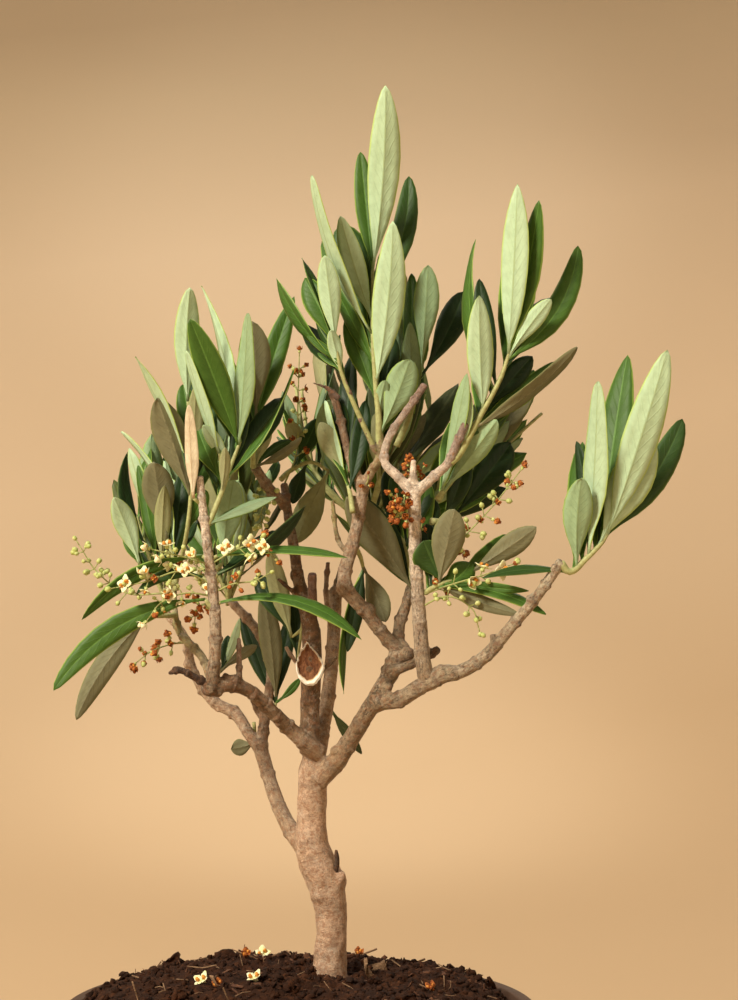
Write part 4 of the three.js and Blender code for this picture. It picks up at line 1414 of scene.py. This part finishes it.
# Where sky shows through the crown, by two corners at the trunk's depth.
OPENINGS = [((-4, 315), (7, 336)), ((42, 304), (51, 340)), ((75, 304), (92, 326))]

# How thick the shoots of some masses are at the foot, as a radius in millimetres.
SHOOT_FEET = {
    "top": 1.3, "right": 1.5, "far_right": 1.4, "top_right": 1.2, "right_low": 1.3,
    "left_tall": 0.8,
}
SHOOT_FOOT_RADIUS = 1.0 * MM
SHOOT_TIP_RADIUS = 0.55 * MM
SHOOT_SIDES = 7
SHOOT_STATION_GAP = 1.6 * MM
INNER_FOOT_RADIUS = 0.7 * MM
INNER_TIP_RADIUS = 0.4 * MM
LEAST_BREADTH = 0.185
LEAST_DROOPING_BREADTH = 0.135
BROAD_LEAF = 0.24
DROOP_FROM = 80
FRONT = Vector((0, -1, 0))
SHOWN_LEAN = 0.26
DROOPING_LEAN = 0.12
FOLD = math.radians(17)
PARTNERS = 0.8
PARTNER_AGES = ("grown", "old", "dark", "grown")
shoots = bmesh.new()


def grow_shoot(route, foot=SHOOT_FOOT_RADIUS, tip=SHOOT_TIP_RADIUS):
    """Grows a slender shoot and gives its points, from foot to tip."""
    radii = [foot + (tip - foot) * k / (len(route) - 1) for k in range(len(route))]
    stands = sweep(shoots, route, radii, SHOOT_SIDES, SHOOT_STATION_GAP)
    return [point for point, _, _ in stands]


def in_sight(point, depth):
    """Slides a point away from the camera, or nearer, without moving it in the camera's view."""
    sight = point - Vector(CAMERA_PLACE)
    return point + sight * depth / sight.y


def in_opening(*points):
    """Whether the camera sees any of the points where sky shows through the crown."""
    seen = [in_sight(point, -point.y) / MM for point in points]
    return any(
        low[0] < spot.x < high[0] and low[1] < spot.z < high[1]
        for spot in seen for low, high in OPENINGS
    )


def upward(lean):
    """The way that something leans to the right of upright, by degrees, seen from the front."""
    return Vector((math.sin(math.radians(lean)), 0, math.cos(math.radians(lean))))


def leading_leaf(spray, points, leaf, dice):
    """A leaf seen from the front, that leads its shoot."""
    share, lean, length, breadth, age, side, bow = leaf
    base = points[round(share * (len(points) - 1))]
    way = upward(lean)
    depth = SHOWN_LEAN + dice.uniform(-0.10, 0.10)
    nearer = -1 if side in ("under", "top_near") else 1
    drooping = abs(lean) > DROOP_FROM
    if drooping:
        depth, nearer = DROOPING_LEAN, -1
    tip = in_sight(base + length * MM * way, nearer * depth * length * MM)
    real = (tip - base).length / MM
    width = max(breadth, (LEAST_DROOPING_BREADTH if drooping else LEAST_BREADTH) * real)
    handed = 1 if age in ("young", "grown") else dice.choice((-1, 1))
    roll = handed * math.acos(min(1, breadth / width)) if breadth <= 0.17 * real else 0
    facing = -FRONT if side.startswith("under") else FRONT
    sideways = Vector((way.z, 0, -way.x))
    bend = (bow + dice.uniform(-0.7, 0.7)) * MM * sideways
    bend += dice.uniform(0.2, 1.6) * MM * nearer * FRONT
    widest = dice.uniform(0.46, 0.54) if width < BROAD_LEAF * real else dice.uniform(0.58, 0.66)
    spray.leaf(
        FINE_LEAF, age, base, tip, facing, width * MM, bend, roll, FOLD * dice.uniform(0.5, 1.3),
        widest, dice,
    )


def partner_leaf(spray, points, leaf, dice):
    """The opposite leaf of a pair: it leans away behind, so that the crown is full all round."""
    share, lean, length = leaf[:3]
    base = points[round(max(0.1, share - 0.08) * (len(points) - 1))]
    way = upward(lean + dice.uniform(-5, 5))
    depth = dice.uniform(0.45, 1.0)
    flat = length * dice.uniform(0.62, 0.82)
    tip = base + flat * MM * (way + Vector((0, depth, 0)))
    real = flat * math.hypot(1, depth)
    width = dice.uniform(0.19, 0.25) * real * MM
    bend = Vector((0, dice.uniform(-3, 1), dice.uniform(-1, 2))) * MM
    age = dice.choice(PARTNER_AGES)
    roll, widest = math.radians(dice.uniform(-40, 40)), dice.uniform(0.50, 0.60)
    if not in_opening(tip, (base + tip) / 2):
        spray.leaf(PLAIN_LEAF, age, base, tip, FRONT, width, bend, roll, FOLD, widest, dice)


dice = random.Random(5)
for mass, mass_shoots in FRONT_SHOOTS.items():
    spray = Spray()
    for route, leaves in mass_shoots:
        points = grow_shoot(route, SHOOT_FEET.get(mass, 1.0) * MM)
        for leaf in leaves:
            leading_leaf(spray, points, leaf, dice)
            if abs(leaf[1]) < DROOP_FROM and dice.random() < PARTNERS:
                partner_leaf(spray, points, leaf, dice)
    if mass == "centre":
        for route, leaves in INNER_LEAVES:
            points = grow_shoot(route, INNER_FOOT_RADIUS, INNER_TIP_RADIUS)
            for leaf in leaves:
                leading_leaf(spray, points, leaf, dice)
    spray.finish(f"leaves_{mass}", f"foliage_{mass}")

# The masses behind are grown by rule: from the limb a few shoots fan out into each, with a pair of
# leaves about every centimetre, each pair square to the last, and no leaf's tip leaves its mass.
# Where each mass's shoots spring from, its foot and top, and how many shoots fan out.
BACK_LIMB_TIP = (21.9, 56, 279.5)
BACK_MASSES = {
    "back_left": ((-26.2, 50, 253), (-26, 50, 251), (-31, 74, 327), 5),
    "back_outer": ((-49.4, 50, 250.5), (-48, 50, 249), (-58, 64, 316), 3),
    "back_middle": (BACK_LIMB_TIP, (4, 56, 296), (6, 70, 350), 3),
    "back_right": (BACK_LIMB_TIP, (22, 56, 276), (46, 82, 353), 5),
    "back_top": (BACK_LIMB_TIP, (30, 40, 306), (31, 50, 374), 3),
    "back_far_right": (BACK_LIMB_TIP, (43, 44, 286), (84, 58, 337), 3),
}
PAIR_GAP = 9.5 * MM
LEAST_PAIRS = 3
SHOOT_SHARE = 0.60
FAN_SHARE = 0.30
TRIES = 10
TRY_SHORTENING = 0.055
BACK_AGES = ("grown", "grown", "old", "old", "dark", "young", "brown", "olive")


def inside(solid, point, margin):
    """Whether a point is in a mass, or no further out of it than the margin."""
    hit, surface, outward, _ = solid.closest_point_on_mesh(point)
    return hit and (point - surface).dot(outward) < margin


def back_leaf(spray, solid, base, ahead, around, dice):
    """Grows a leaf at a joint, if it finds a place in its mass that leaves the sky open."""
    square = ahead.orthogonal().normalized()
    for attempt in range(TRIES):
        turn = around + dice.uniform(-0.4, 0.4)
        aside = Matrix.Rotation(turn, 3, ahead) @ square
        spread = math.radians(dice.uniform(16, 48))
        length = dice.uniform(34, 52) * MM * (1 - TRY_SHORTENING * attempt)
        way = ahead * math.cos(spread) + aside * math.sin(spread)
        way = (way + Vector((0, 0, 0.25))).normalized()
        tip, centre = base + way * length, base + way * length / 2
        if in_opening(tip, centre):
            continue
        if inside(solid, tip, 1.5 * MM) and inside(solid, centre, 3 * MM):
            break
    else:
        return
    width = length * dice.uniform(0.19, 0.27)
    bend = aside * dice.uniform(0, 2.2) * MM
    facing = (-aside + 0.4 * ahead).normalized()
    roll = math.radians(dice.uniform(-25, 25))
    spray.leaf(
        PLAIN_LEAF, dice.choice(BACK_AGES), base, tip, facing, width, bend, roll,
        FOLD * dice.uniform(0.5, 1.3), dice.uniform(0.50, 0.62), dice,
    )


def grow_back_mass(mass, start, foot, top, fan, dice):
    """Grows the shoots and leaves that fill a mass behind."""
    spray = Spray()
    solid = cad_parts[f"foliage_{mass}"]
    low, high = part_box(f"foliage_{mass}")
    start, foot, top = (Vector(spot) * MM for spot in (start, foot, top))
    along = top - foot
    size = high - low
    for shoot in range(fan):
        turn = 2 * math.pi * (shoot + dice.uniform(-0.2, 0.2)) / fan
        out = Vector((math.cos(turn) * size.x, math.sin(turn) * size.y, 0)) * FAN_SHARE
        end = foot + along * SHOOT_SHARE * dice.uniform(0.85, 1.1) + out
        middle = foot + along * 0.22 + out * 0.45
        points = grow_shoot([spot / MM for spot in (start, foot + along * 0.04, middle, end)])
        run = sum((b - a).length for a, b in zip(points, points[1:]))
        pairs = max(LEAST_PAIRS, round(run / PAIR_GAP))
        for pair in range(1, pairs + 1):
            share = (pair + 0.15 * dice.uniform(-1, 1)) / pairs
            place = min(len(points) - 2, round(share * (len(points) - 1)))
            ahead = (points[place + 1] - points[place - 1]).normalized()
            for half in (0, 1):
                around = pair * math.pi / 2 + half * math.pi
                back_leaf(spray, solid, points[place], ahead, around, dice)
    spray.finish(f"leaves_{mass}", f"foliage_{mass}")


dice = random.Random(17)
for mass, growth in BACK_MASSES.items():
    grow_back_mass(mass, *growth, dice)
green_wood = stem_finish("green_shoot", (0.43, 0.45, 0.19), (0.31, 0.30, 0.12))
place_piece("young_shoots", shoots, [green_wood])

# Blossom opens in small racemes from the joints of the older wood: green buds in pairs on a thin
# stalk, cream flowers of four petals with orange anthers, and last week's flowers dried to rust.
BUD, PETAL, ANTHER, RUST = range(4)
STALK_RADIUS = 0.33 * MM
PEDICEL_RADIUS = 0.20 * MM
BUD_RADIUS = 0.92 * MM
PETAL_LENGTH = 2.7 * MM
PETAL_THICKNESS = 0.10 * MM
FIRST_PAIR = 0.24
DROPPED_SIZE = 0.95
DROPPED_LIFT = 0.8 * MM


def bud_mesh(finish_number, swell):
    """A round closed bud, faintly four-lobed."""
    bud = bmesh.new()
    bmesh.ops.create_icosphere(bud, subdivisions=1, radius=BUD_RADIUS)
    for vert in bud.verts:
        lobe = 1 + 0.16 * math.cos(4 * math.atan2(vert.co.y, vert.co.x)) * swell
        vert.co = Vector((vert.co.x * lobe, vert.co.y * lobe, vert.co.z * 1.25 + BUD_RADIUS))
    paint(bud.faces, finish_number)
    return lone_mesh(bud, "bud")


def flower_mesh(petal_kind, curl, size, cup_kind=BUD):
    """Four oval petals on a green cup, with two fat anthers between them."""
    flower = bmesh.new()
    for petal in range(4):
        made = bmesh.ops.create_grid(flower, x_segments=2, y_segments=2, size=1)["verts"]
        for vert in made:
            along = (vert.co.y + 1) / 2
            half = 0.46 * math.sin(math.pi * (0.16 + 0.80 * along)) ** 0.7
            vert.co = Vector((
                vert.co.x * half, 0.12 + along * math.cos(curl * along),
                0.25 + along * math.sin(curl * along) + 0.25 * vert.co.x**2 * half,
            )) * PETAL_LENGTH * size
        faces = list({face for vert in made for face in vert.link_faces})
        paint(faces, petal_kind)
        bmesh.ops.rotate(
            flower, verts=made, cent=(0, 0, 0), matrix=Matrix.Rotation(petal * math.pi / 2, 3, "Z")
        )
        bmesh.ops.solidify(flower, geom=faces, thickness=PETAL_THICKNESS)
    for kind, radius, place in (
        (cup_kind, 0.34, (0, 0, 0.05)), (petal_kind, 0.24, (0, 0, 0.35)),
        (ANTHER, 0.27, (0.34, 0.24, 0.60)), (ANTHER, 0.27, (-0.34, -0.24, 0.60)),
    ):
        radius *= PETAL_LENGTH * size
        made = bmesh.ops.create_cone(
            flower, cap_ends=True, segments=5, radius1=radius, radius2=0.6 * radius,
            depth=1.6 * radius, matrix=Matrix.Translation(Vector(place) * PETAL_LENGTH * size),
        )["verts"]
        paint({face for vert in made for face in vert.link_faces}, kind)
    bmesh.ops.recalc_face_normals(flower, faces=flower.faces)
    return lone_mesh(flower, "flower")


BLOOMS = {
    "bud": [bud_mesh(BUD, 0.6), bud_mesh(BUD, 1.0)],
    "flower": [flower_mesh(PETAL, 0.25, 1.0), flower_mesh(PETAL, 0.9, 0.95)],
    "rust": [
        flower_mesh(RUST, 1.2, 0.70), flower_mesh(RUST, 1.9, 0.80), flower_mesh(RUST, 0.6, 0.60),
        bud_mesh(RUST, 1.0),
    ],
}
DROPPED = {"flower": flower_mesh(PETAL, 0.4, 1.1, PETAL), "rust": flower_mesh(RUST, 1.0, 0.9, RUST)}
# Each raceme has its stalk's route, how many pairs it bears, how far they stand out, how big they
# are and what they are: buds, flowers or dried to rust. The lengths are in millimetres.
RACEMES = [
    (
        [(-28, -18, 268), (-38, -20, 271), (-46, -22, 273)],
        4, 3.2, 1.0, ("bud", "flower", "bud", "bud"),
    ),
    (
        [(-28, -17.5, 262), (-38, -20, 266), (-48, -22, 263), (-58, -24, 261)],
        5, 3.0, 1.0, ("bud", "rust", "flower", "bud"),
    ),
    (
        [(-27, -18, 269), (-20, -20, 273), (-13, -22, 275), (-8, -23, 271)],
        5, 3.2, 1.0, ("flower", "rust", "bud"),
    ),
    (
        [(-26.5, -17, 259.5), (-21, -19, 262), (-14, -21, 263), (-10, -22, 265)],
        4, 2.2, 0.9, ("bud", "rust", "bud"),
    ),
    (
        [(-28, -17, 258), (-36, -18, 259), (-44, -20, 256), (-48, -20, 251)],
        5, 2.4, 0.9, ("bud", "rust", "flower"),
    ),
    ([(-45, 5, 258), (-58, 8, 258), (-68, 9, 265), (-74, 9, 274)], 8, 3.0, 1.1, ("bud",)),
    (
        [(-41, 48, 239), (-46, 38, 239), (-52, 30, 237), (-56, 26, 234)],
        6, 2.6, 1.1, ("rust", "rust", "bud"),
    ),
    ([(-28, -16, 256), (-33, -12, 254), (-34, -10, 249)], 3, 1.8, 1.1, ("rust",)),
    (
        [(-6, 20.5, 294), (-2, 26, 305), (-1.5, 27, 322), (-1, 27, 338)],
        9, 3.3, 0.95, ("bud", "rust", "rust"),
    ),
    ([(-5, 17.5, 289), (-10, 14, 292), (-13, 12, 286), (-13, 11, 279)], 6, 2.8, 1.1, ("bud",)),
    (
        [(38.5, -15.5, 266), (51, -14, 275), (62, -14, 286), (71.5, -14, 298)],
        10, 3.4, 1.05, ("bud", "bud", "bud", "rust"),
    ),
    (
        [(39, -15, 258), (50, -19, 262), (60, -20, 265), (68, -20, 268)],
        5, 3.0, 1.1, ("bud", "bud", "bud", "rust", "flower"),
    ),
    ([(39, -15, 254), (48, -19, 258), (56, -20, 254), (58, -20, 248)], 5, 2.4, 1.0, ("bud",)),
    ([(37.4, -17, 285), (34, -19, 288), (31, -20, 290)], 6, 2.4, 1.1, ("rust",)),
    ([(37.2, -17, 283), (34, -20, 284), (32, -21, 285)], 5, 2.2, 1.1, ("rust",)),
    ([(37.2, -16, 294), (36.4, -14, 298), (36, -13, 301)], 4, 1.9, 0.9, ("rust",)),
    ([(37.2, -16, 294), (38.5, -14, 297), (40, -13, 299)], 2, 1.8, 0.8, ("rust",)),
    ([(20.8, 1, 293), (22.4, -1, 295), (22.6, -2, 297)], 1, 1.2, 0.7, ("rust",)),
    ([(38.4, -15, 279), (39.6, -18, 280), (39.8, -18, 281)], 1, 1.0, 0.9, ("rust",)),
    ([(-26, 50, 253), (-34, 58, 262), (-40, 66, 266)], 6, 2.8, 1.1, ("bud", "flower")),
    ([(22, 56, 279), (30, 64, 286), (36, 72, 285)], 6, 2.8, 1.1, ("bud", "rust", "bud")),
]
# Blossoms that have dropped on the compost: share of the way out, turn about the trunk, and kind.
FALLEN = [
    (0.62, 207, "flower"), (0.58, 214, "rust"), (0.44, 222, "flower"), (0.55, 328, "rust"),
    (0.70, 75, "rust"), (0.60, 120, "flower"), (0.45, 150, "rust"),
]

stalks, blooms = bmesh.new(), bmesh.new()
dice = random.Random(23)
for route, pairs, reach, size, kinds in RACEMES:
    count = len(route) - 1
    radii = [STALK_RADIUS * (1 - 0.45 * k / count) for k in range(count + 1)]
    stands = sweep(stalks, route, radii, 6, 1.5 * MM)
    for pair in range(pairs + 1):
        place = (FIRST_PAIR + (1 - FIRST_PAIR) * pair / pairs) * (len(stands) - 1)
        point, axes, _ = stands[round(place)]
        for half in [0] if pair == pairs else [0, 1]:
            turn = pair * math.pi / 2 + half * math.pi + dice.uniform(-0.5, 0.5)
            out = axes @ Vector((math.cos(turn), math.sin(turn), dice.uniform(0.25, 0.9)))
            if pair == pairs:
                out = axes.col[2].copy()
            length = reach * (1.15 - 0.6 * pair / pairs) * dice.uniform(0.7, 1.2) * MM
            tip = point + out.normalized() * length
            bends = [spot / MM for spot in (point, point + (tip - point) * 0.5, tip)]
            sweep(stalks, bends, [PEDICEL_RADIUS] * 3, 5, 2 * MM)
            for bloom in range(dice.choice((1, 1, 1, 2, 3))):
                lean = Vector([dice.gauss(0, 0.5) for _ in range(3)])
                facing = (out.normalized() + lean * (bloom > 0)).normalized()
                spot = tip + (facing * 0.7 * MM if bloom else Vector((0, 0, 0)))
                kind = dice.choice(kinds)
                scatter(
                    blooms, dice.choice(BLOOMS[kind]), size * dice.uniform(0.75, 1.1), spot,
                    facing.to_track_quat("Z", "Y"),
                )
for share, turn, kind in FALLEN:
    turn = math.radians(turn)
    spot = heap(share, turn)
    spot.z += clods(spot, share) + DROPPED_LIFT
    lean = Vector((dice.uniform(-0.6, 0.6), dice.uniform(-1.2, -0.2), 1)).normalized()
    scatter(blooms, DROPPED[kind], DROPPED_SIZE, spot, lean.to_track_quat("Z", "Y"))


def bloom_finish(name, colour, other, roughness, scale):
    """The finish of one part of a blossom: clouded from one colour to another."""
    bloom = Finish(name, Specular_IOR_Level=0.35)
    clouds = bloom.cloud(bloom.place(), scale, 4, 0.6)
    return bloom.show(
        Base_Color=bloom.mix(clouds.step(0.35, 0.68), colour, other),
        Roughness=roughness + 0.25 * clouds,
        Normal=bloom.bump(clouds, 0.12 * MM, 0.7),
    )


bloom_finishes = [
    bloom_finish("bud_green", (0.42, 0.50, 0.13), (0.60, 0.62, 0.27), 0.45, 1100),
    bloom_finish("petal_cream", (0.90, 0.87, 0.62), (0.78, 0.80, 0.36), 0.50, 900),
    bloom_finish("anther_orange", (0.74, 0.33, 0.05), (0.50, 0.15, 0.02), 0.60, 1500),
    bloom_finish("dried_petal", (0.46, 0.135, 0.022), (0.15, 0.040, 0.012), 0.65, 1300),
]
stalk_finish = stem_finish("blossom_stalk", (0.38, 0.42, 0.14), (0.28, 0.28, 0.10))
place_piece("blossom", blooms, bloom_finishes)
place_piece("blossom_stalks", stalks, [stalk_finish])

# The studio: one pale floor that curves up into a wall all round, painted with light falloff, a big
# soft warm key lamp high on the left in front, a broad fill on the right, a lamp behind for the
# edges of the leaves, and three that light the wall.
FLOOR_REACH = 0.9
WALL_REACH = 3.0
WALL_HEIGHT = 2.8
SWEEP_STEPS = 16

sweep_profile = [(0, 0), (FLOOR_REACH, 0)]
for k in range(1, SWEEP_STEPS + 1):
    lean = math.pi / 2 * k / SWEEP_STEPS
    sweep_profile.append((
        FLOOR_REACH + (WALL_REACH - FLOOR_REACH) * math.sin(lean),
        (WALL_REACH - FLOOR_REACH) * (1 - math.cos(lean)),
    ))
sweep_profile.append((WALL_REACH, WALL_HEIGHT))
cove = turned(sweep_profile, 96)
bmesh.ops.reverse_faces(cove, faces=cove.faces)
paper = Finish("studio_paper", Roughness=0.9, Specular_IOR_Level=0.2)
spot = paper.place()
side, height = paper.part(spot, "X"), paper.part(spot, "Z")
# Painted light falloff: the paper is painted lightest about 0.3 to 0.6 m up, and darker on the
# floor, towards the top and towards the right, as painted shade.
paper_painted_falloff = paper.ramp(
    height - 0.15 * (side + 0.4) + 0.04 * paper.cloud(spot, 1.4, 2), (0.0, (0.564, 0.398, 0.235)),
    (0.13, (0.622, 0.457, 0.287)), (0.30, (0.686, 0.512, 0.331)), (0.61, (0.69, 0.528, 0.353)),
    (0.87, (0.573, 0.440, 0.285)), (1.0, (0.50, 0.376, 0.24)),
)
floor = stand("studio_floor", lone_mesh(cove, "studio_floor"))
floor.data.materials.append(paper.show(Base_Color=paper_painted_falloff))
floor.data.shade_smooth()


def hang_lamp(name, kind, place, aim, power, colour):
    """Hangs a lamp at a place, turned to shine at a point."""
    light = bpy.data.lights.new(name, kind)
    light.energy = power
    light.color = colour
    holder = stand(name, light)
    holder.location = place
    holder.rotation_euler = (Vector(aim) - Vector(place)).to_track_quat("-Z", "Y").to_euler()
    return holder


def soft_lamp(name, place, aim, size, power, colour=(1.0, 0.92, 0.80)):
    """A square soft lamp."""
    holder = hang_lamp(name, "AREA", place, aim, power, colour)
    holder.data.size = size
    holder.visible_camera = False


def wall_spot(name, aim, cone, power):
    """A soft round pool of white light on the wall behind the tree, from a lamp above it."""
    light = hang_lamp(name, "SPOT", (0, -0.6, 1.5), aim, power, (0.95, 0.99, 1.0)).data
    light.spot_size = math.radians(cone)
    light.spot_blend = 1
    light.shadow_soft_size = 0.1


TREE_MIDDLE = (0.01, 0, 0.29)
soft_lamp("key_lamp", (-1.15, -1.25, 1.55), TREE_MIDDLE, 0.45, 64, (1.0, 0.92, 0.78))
soft_lamp("fill_lamp", (1.5, -1.2, 0.9), TREE_MIDDLE, 1.2, 5)
soft_lamp("edge_lamp", (0.5, 1.5, 1.8), TREE_MIDDLE, 0.9, 12)
soft_lamp("back_wall_lamp", (-1.3, 0.6, 1.5), (0, 2.2, 0.3), 1.0, 15)
wall_spot("low_wall_spot", (-0.01, 1.30, 0.05), 17, 110)
wall_spot("high_wall_spot", (-0.03, 2.45, 0.70), 19, 90)
world = bpy.data.worlds.new("studio_air")
world.use_nodes = True
air = world.node_tree.nodes["Background"].inputs
air["Color"].default_value = (1.0, 0.90, 0.76, 1)
air["Strength"].default_value = 0.17
bpy.context.scene.world = world
bpy.context.scene.view_settings.view_transform = "Standard"
